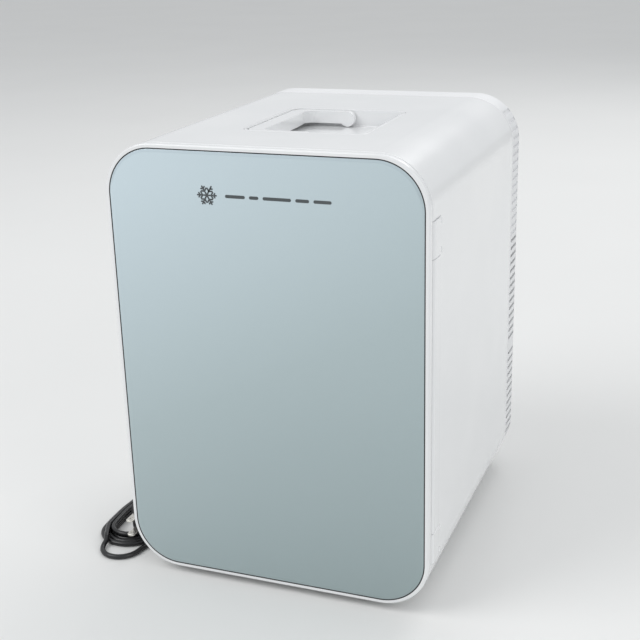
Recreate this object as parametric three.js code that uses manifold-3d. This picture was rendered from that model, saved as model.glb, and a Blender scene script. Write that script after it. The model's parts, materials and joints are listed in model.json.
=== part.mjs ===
// A ten-litre thermoelectric mini fridge with a glass-fronted door, a folding carry handle and a mains lead.
// Millimetres, +Z up. The origin is the middle of the footprint, on the surface that the feet stand on.
// The door faces -Y and is hinged on the +X side, and the lead lies on the floor beside the -X side.
import * as THREE from 'three';
import { mergeVertices } from 'three/addons/utils/BufferGeometryUtils.js';
import Module from 'manifold-3d';

const wasm = await Module();
wasm.setup();

// ---- driving dimensions ----
const WIDTH = 243;
const DEPTH = 284;
const FOOT_HEIGHT = 6;
const BODY_HEIGHT = 338;
const CORNER = 38; // radius of the casing's four long edges
const GAP = 0.3; // between pieces that touch
const SHELL_WALL = 2.5;
const ARC_STEPS = 6; // facets in each quarter of a rounded outline

const FRONT = -DEPTH / 2;
const ROCKER_PROUD = 2.2; // the rear switch stands this far out of the rear panel
const REAR = DEPTH / 2 - ROCKER_PROUD;
const TOP = FOOT_HEIGHT + BODY_HEIGHT;
const MID_Z = FOOT_HEIGHT + BODY_HEIGHT / 2;
const SIDE = WIDTH / 2;

// door, from the front backwards
const LIP = 3.3; // white lip around the glass
const LIP_SETBACK = 0.4; // the glass stands this far proud of the lip
const GLASS_THICKNESS = 2.6;
const FLANGE_BACK = FRONT + 6;
const DOOR_SHADOW_GAP = 1;
const PLUG_DEPTH = 24; // how far the door's insulated plug reaches into the mouth
const PLUG_CLEARANCE = 2;
const PLUG_WALL = 2;

// cabinet, from the front backwards
const SHELL_FRONT = FLANGE_BACK + DOOR_SHADOW_GAP;
const SHELL_BACK = 112;
const FRAME_FRONT = SHELL_FRONT + 3;
const FRAME_THICKNESS = 3;
const WALL_X = 27; // side wall with its insulation
const WALL_Z = 29; // roof and floor with their insulation
const LINER_CORNER = 16;
const LINER_WALL = 1.8;
const LINER_BACK = 56; // inner face of the liner's back wall
const FOAM_BACK = 84;
const BULKHEAD_THICKNESS = 2;

// door hinge
const HINGE_INSET = 4; // pin axis to the casing's side
const HINGE_SETBACK = 9; // pin axis to the flange's back face
const HINGE_X = SIDE - HINGE_INSET;
const HINGE_Y = FLANGE_BACK + HINGE_SETBACK;
const HINGE_LOW = 42;
const HINGE_HIGH = 299;
const KNUCKLE_UPPER = 26;
const KNUCKLE_LOWER = 24;
const BARREL_RADIUS = 11;
const BARREL_HALF = 4; // half of the barrel's thickness, flush with the casing's side
const CHANNEL_RADIUS = 11.5;
const PIN_RADIUS = 1.5;
const BORE_RADIUS = 1.85;
const ROUND = 28; // facets around the hinge's larger rounds

// carry handle, in a tray let into the roof
const TRAY = { halfX: 48.5, halfY: 53.25, centreX: 6.5, centreY: -24.25, depth: 13, wall: 1.8 };
const GRIP = { width: 10.9, outer: 45.9, halfY: 50.6, legWidth: 5.4, low: 333, high: 343.4 };
const HANDLE_AXIS_Z = 337.5;
const HANDLE_KNUCKLE = 6;

// cooling stack
const COOL_Z = 190; // height of the middle of the fans, sinks and module
const COLD_FAN = { half: 35, front: 22, depth: 10, bore: 32, hub: 12, blades: 7 };
const HOT_FAN = { half: 46, front: 108.5, depth: 15, bore: 43, hub: 17, blades: 7 };

// rear panel
const PANEL_WALL = 2.5;
const PANEL_FRONT = SHELL_BACK + GAP;
const VENT_PITCH = 6.9;
const SOCKET_Z = 60;
const MAINS_X = -70;
const CAR_X = -38;
const SWITCH_X = -6;

// mains lead
const CORD = 4.2; // diameter
const COIL = { x: -152.3, y: -78.3, halfRun: 17, radius: 20, across: 3, layers: 2 };
const CORD_PITCH = 4.4; // between neighbouring turns
const PLUG = { x: -137, tipY: -125, z: 21.4, blade: 17, length: 30, width: 25, thickness: 14 };

// ---- finishes ----
const finish = (color, roughness, metalness = 0) =>
  new THREE.MeshStandardMaterial({ color, roughness, metalness });
const whiteGloss = finish(0xe9e9ea, 0.22);
const whiteSatin = finish(0xe4e5e6, 0.45);
const glassGrey = finish(0xaebdbf, 0.06);
const foamWhite = finish(0xf4f4f2, 0.95);
const sealGrey = finish(0xb9bcbe, 0.7);
const blackPlastic = finish(0x17181a, 0.5);
const blackRubber = finish(0x1b1b1c, 0.85);
const bareMetal = finish(0xb8babd, 0.4, 1);
const brightPin = finish(0xd3d1cb, 0.25, 1);
const ceramic = finish(0xe8e6df, 0.6);
const boardGreen = finish(0x2d6a41, 0.55);

// ---- making and combining solids ----
function solid(geometry) {
  geometry.deleteAttribute('normal');
  geometry.deleteAttribute('uv');
  const merged = mergeVertices(geometry, 1e-4);
  const vertProperties = new Float32Array(merged.attributes.position.array);
  const triVerts = new Uint32Array(merged.index.array);
  return new wasm.Manifold(new wasm.Mesh({ numProp: 3, vertProperties, triVerts }));
}

const join = (...solids) => solids.reduce((a, b) => a.add(b));
const cut = (blank, ...tools) => tools.reduce((a, b) => a.subtract(b), blank);

function box(x0, x1, y0, y1, z0, z1) {
  const geometry = new THREE.BoxGeometry(x1 - x0, y1 - y0, z1 - z0);
  geometry.translate((x0 + x1) / 2, (y0 + y1) / 2, (z0 + z1) / 2);
  return solid(geometry);
}

function rodY(x, z, radius, y0, y1, facets = 16) {
  const geometry = new THREE.CylinderGeometry(radius, radius, y1 - y0, facets);
  geometry.translate(x, (y0 + y1) / 2, z);
  return solid(geometry);
}

function rodZ(x, y, radius, z0, z1, facets = 16) {
  const geometry = new THREE.CylinderGeometry(radius, radius, z1 - z0, facets);
  geometry.rotateX(Math.PI / 2);
  geometry.translate(x, y, (z0 + z1) / 2);
  return solid(geometry);
}

// A flat outline drawn in X and Z, thickened from y0 back to y1.
function slabY(shape, y0, y1, steps = ARC_STEPS) {
  const options = { depth: y1 - y0, bevelEnabled: false, curveSegments: steps };
  const geometry = new THREE.ExtrudeGeometry(shape, options);
  geometry.rotateX(Math.PI / 2);
  geometry.translate(0, y1, 0);
  return solid(geometry);
}

// A flat outline drawn in X and Y, thickened from z0 up to z1.
function slabZ(shape, z0, z1, steps = ARC_STEPS) {
  const options = { depth: z1 - z0, bevelEnabled: false, curveSegments: steps };
  const geometry = new THREE.ExtrudeGeometry(shape, options);
  geometry.translate(0, 0, z0);
  return solid(geometry);
}

function roundedRect(cx, cy, halfX, halfY, radius) {
  const shape = new THREE.Shape();
  const corners = [[1, 1], [-1, 1], [-1, -1], [1, -1]];
  corners.forEach(([sx, sy], i) => {
    const start = (i * Math.PI) / 2;
    shape.absarc(cx + sx * (halfX - radius), cy + sy * (halfY - radius), radius, start, start + Math.PI / 2);
  });
  return shape;
}

// The casing's front view, drawn in by inset all round.
const casing = (inset) =>
  roundedRect(0, MID_Z, SIDE - inset, BODY_HEIGHT / 2 - inset, Math.max(CORNER - inset, 4));

// The cold compartment's front view, drawn out by grow all round.
const compartment = (grow) =>
  roundedRect(0, MID_Z, SIDE - WALL_X + grow, BODY_HEIGHT / 2 - WALL_Z + grow, LINER_CORNER + grow);

const model = new THREE.Group();

function add(group, name, shape, material) {
  const mesh = shape.getMesh();
  const geometry = new THREE.BufferGeometry();
  const positions = new THREE.BufferAttribute(new Float32Array(mesh.vertProperties), mesh.numProp);
  geometry.setAttribute('position', positions);
  geometry.setIndex(new THREE.BufferAttribute(new Uint32Array(mesh.triVerts), 1));
  const piece = new THREE.Mesh(geometry, material);
  piece.name = name;
  group.add(piece);
  return piece;
}

function subAssembly() {
  const group = new THREE.Group();
  model.add(group);
  return group;
}

// ---- cabinet ----
const cabinet = subAssembly();
const trayOutline = (grow) =>
  roundedRect(TRAY.centreX, TRAY.centreY, TRAY.halfX + grow, TRAY.halfY + grow, 9 + grow);
const FRAME_BACK = FRAME_FRONT + FRAME_THICKNESS;
const LINER_FRONT = FRAME_BACK + GAP;

// The room that the door's barrel turns in, open to the front and the side.
function hingeRoom(radius, endGap) {
  const low = HINGE_LOW - endGap;
  const high = HINGE_HIGH + endGap;
  const round = rodZ(HINGE_X, HINGE_Y, radius, low, high, ROUND);
  return join(round, box(HINGE_X - radius, SIDE + 1, FRONT, HINGE_Y, low, high));
}

function outerShell() {
  const tube = cut(slabY(casing(0), SHELL_FRONT, SHELL_BACK), slabY(casing(SHELL_WALL), FRONT, REAR));
  const trayHole = slabZ(trayOutline(GAP), TOP - 10, TOP + 10);
  return cut(tube, trayHole, hingeRoom(CHANNEL_RADIUS, GAP));
}

function frontFrame() {
  const blank = slabY(casing(SHELL_WALL + GAP), FRAME_FRONT, FRAME_BACK);
  const ring = cut(blank, slabY(compartment(0), FRONT, 0));
  const channelWall = rodZ(HINGE_X, HINGE_Y, CHANNEL_RADIUS + 2, HINGE_LOW - 2, HINGE_HIGH + 2, ROUND);
  const inside = slabY(casing(SHELL_WALL + GAP), FRAME_FRONT, 0);
  const strikeSeat = box(-109.3, -100.7, FRAME_FRONT - 1, FRAME_FRONT + 1.5, MID_Z - 30.3, MID_Z + 30.3);
  return cut(join(ring, channelWall.intersect(inside)), hingeRoom(CHANNEL_RADIUS, GAP), strikeSeat);
}

function innerLiner() {
  const tub = cut(
    slabY(compartment(LINER_WALL), LINER_FRONT, LINER_BACK + LINER_WALL),
    slabY(compartment(0), FRONT, LINER_BACK),
  );
  const half = SIDE - WALL_X + 0.5;
  const ledges = [];
  for (const z of [SHELF_Z - 3, SHELF_Z + 72]) {
    ledges.push(box(-half, -half + 5.5, -70, 14, z - 2.5, z));
    ledges.push(box(half - 5.5, half, -70, 14, z - 2.5, z));
  }
  const window = box(-23, 23, 0, REAR, COOL_Z - 23, COOL_Z + 23);
  return cut(join(tub, ...ledges), window);
}

function insulation() {
  const block = slabY(casing(SHELL_WALL + 2 * GAP), LINER_FRONT, FOAM_BACK);
  const hollow = slabY(compartment(LINER_WALL + GAP), FRONT, LINER_BACK + LINER_WALL + GAP);
  const window = box(-23, 23, 0, REAR, COOL_Z - 23, COOL_Z + 23);
  const trayRoom = slabZ(trayOutline(3.5), TOP - TRAY.depth - TRAY.wall - GAP, TOP);
  return cut(block, hollow, window, trayRoom, hingeRoom(CHANNEL_RADIUS + 2 + GAP, 2 + GAP));
}

// The plate behind the foam: it carries the hot side and the four posts that the rear panel screws to.
const POSTS = [[-96, 34], [96, 34], [-96, 316], [96, 316]];
const BULKHEAD_FRONT = FOAM_BACK + GAP;
const BULKHEAD_BACK = BULKHEAD_FRONT + BULKHEAD_THICKNESS;

function rearBulkhead() {
  const plate = slabY(casing(SHELL_WALL + GAP), BULKHEAD_FRONT, BULKHEAD_BACK);
  const window = box(-51, 51, 0, REAR, COOL_Z - 46, COOL_Z + 46);
  const backs = POSTS.map(([x, z]) => rodY(x, z, 4.5, BULKHEAD_FRONT, REAR - PANEL_WALL - GAP, 10));
  const bores = POSTS.map(([x, z]) => rodY(x, z, 1.9, BULKHEAD_BACK + 8, REAR, 8));
  return cut(join(plate, ...backs), window, ...bores);
}

const SHELF_Z = 150;

function shelf() {
  const half = SIDE - WALL_X - 1.2;
  const outline = roundedRect(0, -28, half, 40, 6);
  const slots = [];
  for (let i = -6; i <= 6; i += 1) slots.push(box(i * 13 - 4, i * 13 + 4, -60, 4, 0, TOP));
  return cut(slabZ(outline, SHELF_Z - 3 + GAP, SHELF_Z + GAP), ...slots);
}

add(cabinet, 'outer_shell', outerShell(), whiteGloss);
add(cabinet, 'front_frame', frontFrame(), whiteSatin);
add(cabinet, 'inner_liner', innerLiner(), whiteSatin);
add(cabinet, 'insulation', insulation(), foamWhite);
add(cabinet, 'rear_bulkhead', rearBulkhead(), whiteSatin);
add(cabinet, 'shelf', shelf(), whiteSatin);
const strike = box(-109, -101, FRAME_FRONT + 0.1, FRAME_FRONT + 1.2, MID_Z - 30, MID_Z + 30);
add(cabinet, 'strike_plate', strike, bareMetal);

const footBlank = new THREE.CylinderGeometry(9, 8, FOOT_HEIGHT - GAP, 24);
footBlank.rotateX(Math.PI / 2);
footBlank.translate(0, 0, (FOOT_HEIGHT - GAP) / 2);
const footShape = solid(footBlank);
for (const [end, y] of [['front', -112], ['rear', 88]]) {
  for (const [hand, x] of [['left', -68], ['right', 68]]) {
    add(cabinet, `foot_${end}_${hand}`, footShape, blackRubber).position.set(x, y, 0);
  }
}

// ---- door hinge: knuckles and pins stay with the cabinet ----
function knuckle(low, high) {
  const front = rodZ(HINGE_X, HINGE_Y, HINGE_SETBACK - 0.5, low, high, ROUND);
  const back = rodZ(HINGE_X, HINGE_Y, BARREL_RADIUS, low, high, ROUND)
    .intersect(box(0, WIDTH, HINGE_Y, 0, low, high));
  const flush = slabY(casing(0), FRONT, 0).intersect(box(0, SIDE, FRONT, 0, low, high));
  const bore = rodZ(HINGE_X, HINGE_Y, BORE_RADIUS, low - 1, high + 1);
  return cut(join(front, back).intersect(flush), bore);
}

const BARREL_LOW = HINGE_LOW + KNUCKLE_LOWER + GAP;
const BARREL_HIGH = HINGE_HIGH - KNUCKLE_UPPER - GAP;
const pinLength = 30;
const pinShape = rodZ(0, 0, PIN_RADIUS, 0, pinLength, 12);
add(cabinet, 'hinge_knuckle_upper', knuckle(BARREL_HIGH + GAP, HINGE_HIGH), whiteGloss);
add(cabinet, 'hinge_knuckle_lower', knuckle(HINGE_LOW, BARREL_LOW - GAP), whiteGloss);
add(cabinet, 'hinge_pin_upper', pinShape, bareMetal)
  .position.set(HINGE_X, HINGE_Y, BARREL_HIGH - 8);
add(cabinet, 'hinge_pin_lower', pinShape, bareMetal)
  .position.set(HINGE_X, HINGE_Y, BARREL_LOW + 8 - pinLength);

// ---- door ----
const door = subAssembly();
const LIP_FRONT = FRONT + LIP_SETBACK;
const GLASS_BACK = FRONT + GLASS_THICKNESS;
const PLUG_BACK = FLANGE_BACK + PLUG_DEPTH;

function doorFrame() {
  const flange = slabY(casing(0), LIP_FRONT, FLANGE_BACK);
  const glassSeat = slabY(casing(LIP - GAP), FRONT - 1, GLASS_BACK + GAP);
  const rim = cut(
    slabY(compartment(-PLUG_CLEARANCE), FLANGE_BACK - 1, PLUG_BACK),
    slabY(compartment(-PLUG_CLEARANCE - PLUG_WALL), FLANGE_BACK, PLUG_BACK + 1),
  );
  const barrelStrip = box(HINGE_X - BARREL_HALF, SIDE, FLANGE_BACK - 1, 0, BARREL_LOW, BARREL_HIGH);
  const barrel = rodZ(HINGE_X, HINGE_Y, BARREL_RADIUS, BARREL_LOW, BARREL_HIGH, ROUND)
    .intersect(barrelStrip);
  const bores = [
    rodZ(HINGE_X, HINGE_Y, BORE_RADIUS, BARREL_HIGH - 10, BARREL_HIGH + 1),
    rodZ(HINGE_X, HINGE_Y, BORE_RADIUS, BARREL_LOW - 1, BARREL_LOW + 10),
  ];
  const magnetSeat = box(-109.3, -100.7, FLANGE_BACK - 1.5, FLANGE_BACK + 1, MID_Z - 30.3, MID_Z + 30.3);
  return cut(join(flange, rim, barrel), glassSeat, ...bores, magnetSeat);
}

function doorBin() {
  const top = 100;
  const floorZ = 50;
  const outer = box(-80, 80, PLUG_BACK + GAP, -76, floorZ, top);
  const inner = box(-78, 78, PLUG_BACK + GAP + 2, -78, floorZ + 2, top + 5);
  const front = box(-60, 60, -80, -70, floorZ + 14, top - 12);
  return cut(outer, inner, front);
}

const glass = slabY(casing(LIP), FRONT, GLASS_BACK);
const plugInside = compartment(-PLUG_CLEARANCE - PLUG_WALL - GAP);
const foamShape = slabY(plugInside, FLANGE_BACK + GAP, PLUG_BACK - 2.3);
const gasketBlank = roundedRect(0, MID_Z, 100, BODY_HEIGHT / 2 - WALL_Z + 5.5, 20);
const gasketHole = slabY(compartment(-PLUG_CLEARANCE + GAP), FRONT, 0);
const gasket = cut(slabY(gasketBlank, FLANGE_BACK + GAP, FRAME_FRONT - GAP), gasketHole);
const magnet = box(-109, -101, FLANGE_BACK - 1.2, FLANGE_BACK + 1.5, MID_Z - 30, MID_Z + 30);
add(door, 'door_frame', doorFrame(), whiteGloss);
add(door, 'door_glass', glass, glassGrey);
add(door, 'door_foam', foamShape, foamWhite);
add(door, 'door_liner', slabY(plugInside, PLUG_BACK - 2, PLUG_BACK), whiteSatin);
add(door, 'door_gasket', gasket, sealGrey);
add(door, 'door_magnet', magnet, bareMetal);
add(door, 'door_bin', doorBin(), whiteSatin);

// ---- carry handle ----
const carry = subAssembly();

function handleTray() {
  const floorZ = TOP - TRAY.depth;
  const tub = cut(
    slabZ(trayOutline(0), floorZ - TRAY.wall, TOP),
    slabZ(trayOutline(-TRAY.wall), floorZ, TOP + 1),
  );
  const bore = rodY(TRAY.centreX, HANDLE_AXIS_Z, BORE_RADIUS, TRAY.centreY - 60, TRAY.centreY + 60);
  return cut(tub, bore);
}

function bail() {
  const y0 = TRAY.centreY - GRIP.halfY;
  const y1 = TRAY.centreY + GRIP.halfY;
  const inner = GRIP.outer - GRIP.width;
  const rounding = 9;
  const plan = new THREE.Shape();
  plan.moveTo(0, y0);
  plan.lineTo(0, y0 + GRIP.legWidth);
  plan.lineTo(-inner + rounding, y0 + GRIP.legWidth);
  plan.quadraticCurveTo(-inner, y0 + GRIP.legWidth, -inner, y0 + GRIP.legWidth + rounding);
  plan.quadraticCurveTo(-inner + 2.5, TRAY.centreY, -inner, y1 - GRIP.legWidth - rounding);
  plan.quadraticCurveTo(-inner, y1 - GRIP.legWidth, -inner + rounding, y1 - GRIP.legWidth);
  plan.lineTo(0, y1 - GRIP.legWidth);
  plan.lineTo(0, y1);
  plan.lineTo(-GRIP.outer + rounding, y1);
  plan.quadraticCurveTo(-GRIP.outer, y1, -GRIP.outer, y1 - rounding);
  plan.lineTo(-GRIP.outer, y0 + rounding);
  plan.quadraticCurveTo(-GRIP.outer, y0, -GRIP.outer + rounding, y0);
  plan.closePath();
  const bar = slabZ(plan, GRIP.low, GRIP.high, 5);
  const ends = [
    rodY(0, HANDLE_AXIS_Z, HANDLE_KNUCKLE, y0, y0 + GRIP.legWidth),
    rodY(0, HANDLE_AXIS_Z, HANDLE_KNUCKLE, y1 - GRIP.legWidth, y1),
  ];
  const blank = cut(join(bar, ...ends), rodY(0, HANDLE_AXIS_Z, BORE_RADIUS, y0 - 1, y1 + 1));
  return blank.translate([TRAY.centreX, 0, 0]);
}

const handlePinLength = 8.6;
const handlePin = rodY(0, 0, PIN_RADIUS, 0, handlePinLength, 12);
add(carry, 'handle_tray', handleTray(), whiteGloss);
add(carry, 'carry_handle', bail(), whiteGloss);
add(carry, 'handle_pin_front', handlePin, bareMetal)
  .position.set(TRAY.centreX, TRAY.centreY - TRAY.halfY - 2, HANDLE_AXIS_Z);
add(carry, 'handle_pin_rear', handlePin, bareMetal)
  .position.set(TRAY.centreX, TRAY.centreY + TRAY.halfY + 2 - handlePinLength, HANDLE_AXIS_Z);

// ---- cooling stack ----
const cooling = subAssembly();

function finnedSink(half, baseY0, baseY1, finTip, count) {
  const fins = [];
  const low = Math.min(finTip, baseY0);
  const high = Math.max(finTip, baseY1);
  for (let i = 0; i < count; i += 1) {
    const x = -half + 1 + (i * (2 * half - 2)) / (count - 1);
    fins.push(box(x - 0.8, x + 0.8, low, high, COOL_Z - half + 2, COOL_Z + half - 2));
  }
  return join(box(-half, half, baseY0, baseY1, COOL_Z - half, COOL_Z + half), ...fins);
}

// The motor's spider is on the far side of the frame from the blades' open face.
function fanFrame({ half, front, depth, bore, hub }) {
  const back = front + depth;
  const square = slabY(roundedRect(0, COOL_Z, half, half, 4), front, back, 4);
  const ring = cut(square, rodY(0, COOL_Z, bore, front - 1, back + 1, 24));
  const spider = [rodY(0, COOL_Z, hub, back - 2, back)];
  for (let i = 0; i < 4; i += 1) {
    const strut = new THREE.BoxGeometry(bore, 2, 3);
    strut.translate(bore / 2 + 2, back - 1, 0);
    strut.rotateY((i * Math.PI) / 2 + Math.PI / 4);
    strut.translate(0, 0, COOL_Z);
    spider.push(solid(strut));
  }
  return cut(join(ring, ...spider), rodY(0, COOL_Z, 1.9, front, back + 1, 12));
}

function fanRotor({ front, depth, bore, hub, blades }) {
  const back = front + depth - 2.8;
  const shaft = rodY(0, COOL_Z, 1.5, back - 1, front + depth, 12);
  const parts = [rodY(0, COOL_Z, hub, front + 0.6, back), shaft];
  const reach = bore - 1.5 - hub;
  for (let i = 0; i < blades; i += 1) {
    const blade = new THREE.BoxGeometry(reach + 2, 1.2, (depth - 4) * 1.5);
    blade.rotateX(0.62);
    blade.translate(hub + reach / 2 - 1, (front + 0.6 + back) / 2, 0);
    blade.rotateY((i * 2 * Math.PI) / blades);
    blade.translate(0, 0, COOL_Z);
    parts.push(solid(blade));
  }
  const room = join(rodY(0, COOL_Z, bore - 0.8, front + 0.4, back, 24), shaft);
  return join(...parts).intersect(room);
}

function innerFanCover() {
  const y0 = 18;
  const y1 = LINER_BACK - GAP;
  const shell = cut(
    slabY(roundedRect(0, COOL_Z, 52, 52, 8), y0, y1),
    slabY(roundedRect(0, COOL_Z, 50, 50, 6), y0 + 2, y1 + 1),
  );
  const slots = [];
  for (let i = -4; i <= 4; i += 1) {
    const half = Math.sqrt(34 * 34 - i * i * 49);
    slots.push(box(-half, half, 0, y0 + 3, COOL_Z + i * 7 - 1.8, COOL_Z + i * 7 + 1.8));
  }
  for (let i = -1; i <= 1; i += 1) {
    slots.push(box(-60, 60, 38, 50, COOL_Z + i * 22 - 3, COOL_Z + i * 22 + 3));
  }
  return cut(shell, ...slots);
}

const HOT_BASE = 84.8;
add(cooling, 'cold_sink', finnedSink(40, 52.6, LINER_BACK - GAP, 33, 13), bareMetal);
add(cooling, 'cold_block', box(-22, 22, LINER_BACK, 79.9, COOL_Z - 22, COOL_Z + 22), bareMetal);
add(cooling, 'peltier_module', box(-20, 20, 80.2, HOT_BASE - GAP, COOL_Z - 20, COOL_Z + 20), ceramic);
add(cooling, 'hot_sink', finnedSink(45, HOT_BASE, 90, 108, 15), bareMetal);
add(cooling, 'cold_fan_frame', fanFrame(COLD_FAN), blackPlastic);
add(cooling, 'cold_fan_rotor', fanRotor(COLD_FAN), blackPlastic);
add(cooling, 'hot_fan_frame', fanFrame(HOT_FAN), blackPlastic);
add(cooling, 'hot_fan_rotor', fanRotor(HOT_FAN), blackPlastic);
add(cooling, 'inner_fan_cover', innerFanCover(), whiteSatin);

// ---- rear panel ----
const rear = subAssembly();
// Two runs of open slots on each side, with a plain break between them.
const VENT_RUNS = [
  { low: 130.3, count: 14 },
  { low: 39.5, count: 12 },
];

function ventTools() {
  const tools = [];
  for (const { low, count } of VENT_RUNS) {
    for (let i = 0; i < count; i += 1) {
      const z = low + i * VENT_PITCH;
      tools.push(box(-SIDE - 1, SIDE + 1, PANEL_FRONT + 3, REAR - 4, z - 1.4, z + 1.4));
    }
  }
  return tools;
}

const SWITCH = { halfX: 8, halfZ: 13, lip: 2 };
const SCREW_HEAD = 3.4;

function rearPanel() {
  const cup = cut(
    slabY(casing(0), PANEL_FRONT, REAR),
    slabY(casing(PANEL_WALL), FRONT, REAR - PANEL_WALL),
  );
  const inside = REAR - 12;
  const outside = REAR + 8;
  const grille = [];
  for (let i = -6; i <= 6; i += 1) {
    const half = Math.sqrt(45 * 45 - i * i * 49);
    grille.push(box(-half, half, inside, outside, COOL_Z + i * 7 - 1.7, COOL_Z + i * 7 + 1.7));
  }
  const mainsHole = box(MAINS_X - 13, MAINS_X + 13, inside, outside, SOCKET_Z - 8.5, SOCKET_Z + 8.5);
  const carHole = rodY(CAR_X, SOCKET_Z, 7.5 + GAP, inside, outside);
  const switchHole = box(SWITCH_X - SWITCH.halfX, SWITCH_X + SWITCH.halfX, inside, outside,
    SOCKET_Z - SWITCH.halfZ, SOCKET_Z + SWITCH.halfZ);
  const screws = POSTS.map(([x, z]) =>
    join(rodY(x, z, 1.9, inside, outside, 12), rodY(x, z, SCREW_HEAD + GAP, REAR - 1.3, outside)));
  return cut(cup, ...ventTools(), ...grille, mainsHole, carHole, switchHole, ...screws);
}

const screwShape = join(rodY(0, 0, SCREW_HEAD, -1, 0), rodY(0, 0, 1.6, -22, -0.5, 12));
add(rear, 'rear_panel', rearPanel(), whiteSatin);
POSTS.forEach(([x, z], i) => {
  add(rear, `rear_screw_${i + 1}`, screwShape, bareMetal).position.set(x, REAR, z);
});

// ---- electrics ----
const electrics = subAssembly();

function powerBoard() {
  const board = box(-84, 0, 94, 95.6, 30, 96);
  const transformer = box(-70, -44, 95, 113, 40, 62);
  const capacitor = rodY(-26, 48, 6, 95, 115, 16);
  const coolerPlate = box(-72, -20, 95, 110, 78, 82);
  const plugRow = box(-14, -4, 95, 103, 66, 90);
  const standoffs = [[-78, 36], [-6, 36], [-78, 90], [-6, 90]].map(([x, z]) =>
    rodY(x, z, 2.5, BULKHEAD_BACK + GAP, 94.5, 12));
  return join(board, transformer, capacitor, coolerPlate, plugRow, ...standoffs);
}

// A two-pin appliance inlet, with the lead's connector pushed into it.
const INLET_FLOOR = REAR - 12;
const INLET_DEPTH = 18;
const PRONG_PITCH = 8.6;

function mainsInlet() {
  const body = box(MAINS_X - 12.6, MAINS_X + 12.6, REAR - INLET_DEPTH, REAR - 0.2, SOCKET_Z - 8.2, SOCKET_Z + 8.2);
  const socket = slabY(roundedRect(MAINS_X, SOCKET_Z, 9.3, 5.3, 5.2), INLET_FLOOR, REAR + 1, 6);
  const prongs = [-1, 1].map((hand) =>
    rodY(MAINS_X + (hand * PRONG_PITCH) / 2, SOCKET_Z, 1.2, INLET_FLOOR - 2, REAR - 3, 12));
  return join(cut(body, socket), ...prongs);
}

function carInlet() {
  const body = rodY(CAR_X, SOCKET_Z, 7.5, REAR - 20, REAR - 0.2);
  const bore = rodY(CAR_X, SOCKET_Z, 5.4, REAR - 15, REAR + 1);
  return cut(body, bore);
}

function switchFrame() {
  const { halfX, halfZ, lip } = SWITCH;
  const neck = box(SWITCH_X - halfX + GAP, SWITCH_X + halfX - GAP, REAR - INLET_DEPTH, REAR + GAP,
    SOCKET_Z - halfZ + GAP, SOCKET_Z + halfZ - GAP);
  const flange = box(SWITCH_X - halfX - 2, SWITCH_X + halfX + 2, REAR + GAP, REAR + 1.8,
    SOCKET_Z - halfZ - 2, SOCKET_Z + halfZ + 2);
  const room = box(SWITCH_X - halfX + lip, SWITCH_X + halfX - lip, REAR - 14, REAR + 5,
    SOCKET_Z - halfZ + lip, SOCKET_Z + halfZ - lip);
  return cut(join(neck, flange), room);
}

const ROCKER_RADIUS = 8.2;
const ROCKER_Y = REAR + ROCKER_PROUD - ROCKER_RADIUS;

function rocker() {
  const { halfX, lip } = SWITCH;
  const halfWidth = halfX - lip - 0.5;
  const side = new THREE.Shape();
  side.absarc(ROCKER_Y, SOCKET_Z, ROCKER_RADIUS, -1.02, 1.02);
  side.lineTo(ROCKER_Y - 3, SOCKET_Z + 3);
  side.lineTo(ROCKER_Y - 3, SOCKET_Z - 3);
  side.closePath();
  const options = { depth: 2 * halfWidth, bevelEnabled: false, curveSegments: 10 };
  const geometry = new THREE.ExtrudeGeometry(side, options);
  geometry.applyMatrix4(new THREE.Matrix4().set(0, 0, 1, 0, 1, 0, 0, 0, 0, 1, 0, 0, 0, 0, 0, 1));
  geometry.translate(SWITCH_X - halfWidth, 0, 0);
  return solid(geometry);
}

add(electrics, 'power_board', powerBoard(), boardGreen);
add(electrics, 'mains_inlet', mainsInlet(), blackPlastic);
add(electrics, 'car_inlet', carInlet(), blackPlastic);
add(electrics, 'mode_switch_frame', switchFrame(), blackPlastic);
add(electrics, 'mode_rocker', rocker(), blackPlastic);

// ---- mains lead ----
const lead = subAssembly();
const CONNECTOR_BACK = REAR + 24;
const RELIEF_BACK = CONNECTOR_BACK + 20;
const FLOOR_Z = CORD / 2 + 0.05;
const COIL_OUT = COIL.radius + ((COIL.across - 1) / 2) * CORD_PITCH; // middle of the outermost strand
const COIL_LIMIT = COIL_OUT + CORD / 2 + 0.1;
const COIL_HEIGHT = CORD_PITCH * (COIL.layers - 1) + CORD + 0.2;
const PLUG_FRONT = PLUG.tipY + PLUG.blade;
const PLUG_BODY_BACK = PLUG_FRONT + PLUG.length;
const PLUG_RELIEF_BACK = PLUG_BODY_BACK + 20;

function taperedRelief(y0, y1, x, z, wide, narrow) {
  const geometry = new THREE.CylinderGeometry(narrow, wide, y1 - y0, 16);
  geometry.translate(x, (y0 + y1) / 2, z);
  return solid(geometry);
}

function cordConnector() {
  const nose = slabY(roundedRect(MAINS_X, SOCKET_Z, 9, 5, 4.9), INLET_FLOOR + GAP, REAR + 3, 6);
  const grip = slabY(roundedRect(MAINS_X, SOCKET_Z, 11, 7, 4), REAR + 2, CONNECTOR_BACK, 4);
  const relief = taperedRelief(CONNECTOR_BACK - 1, RELIEF_BACK, MAINS_X, SOCKET_Z, 4.6, 3);
  const holes = [-1, 1].map((hand) =>
    rodY(MAINS_X + (hand * PRONG_PITCH) / 2, SOCKET_Z, 1.6, REAR - 22, REAR, 12));
  return cut(join(nose, grip, relief), ...holes);
}

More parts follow.
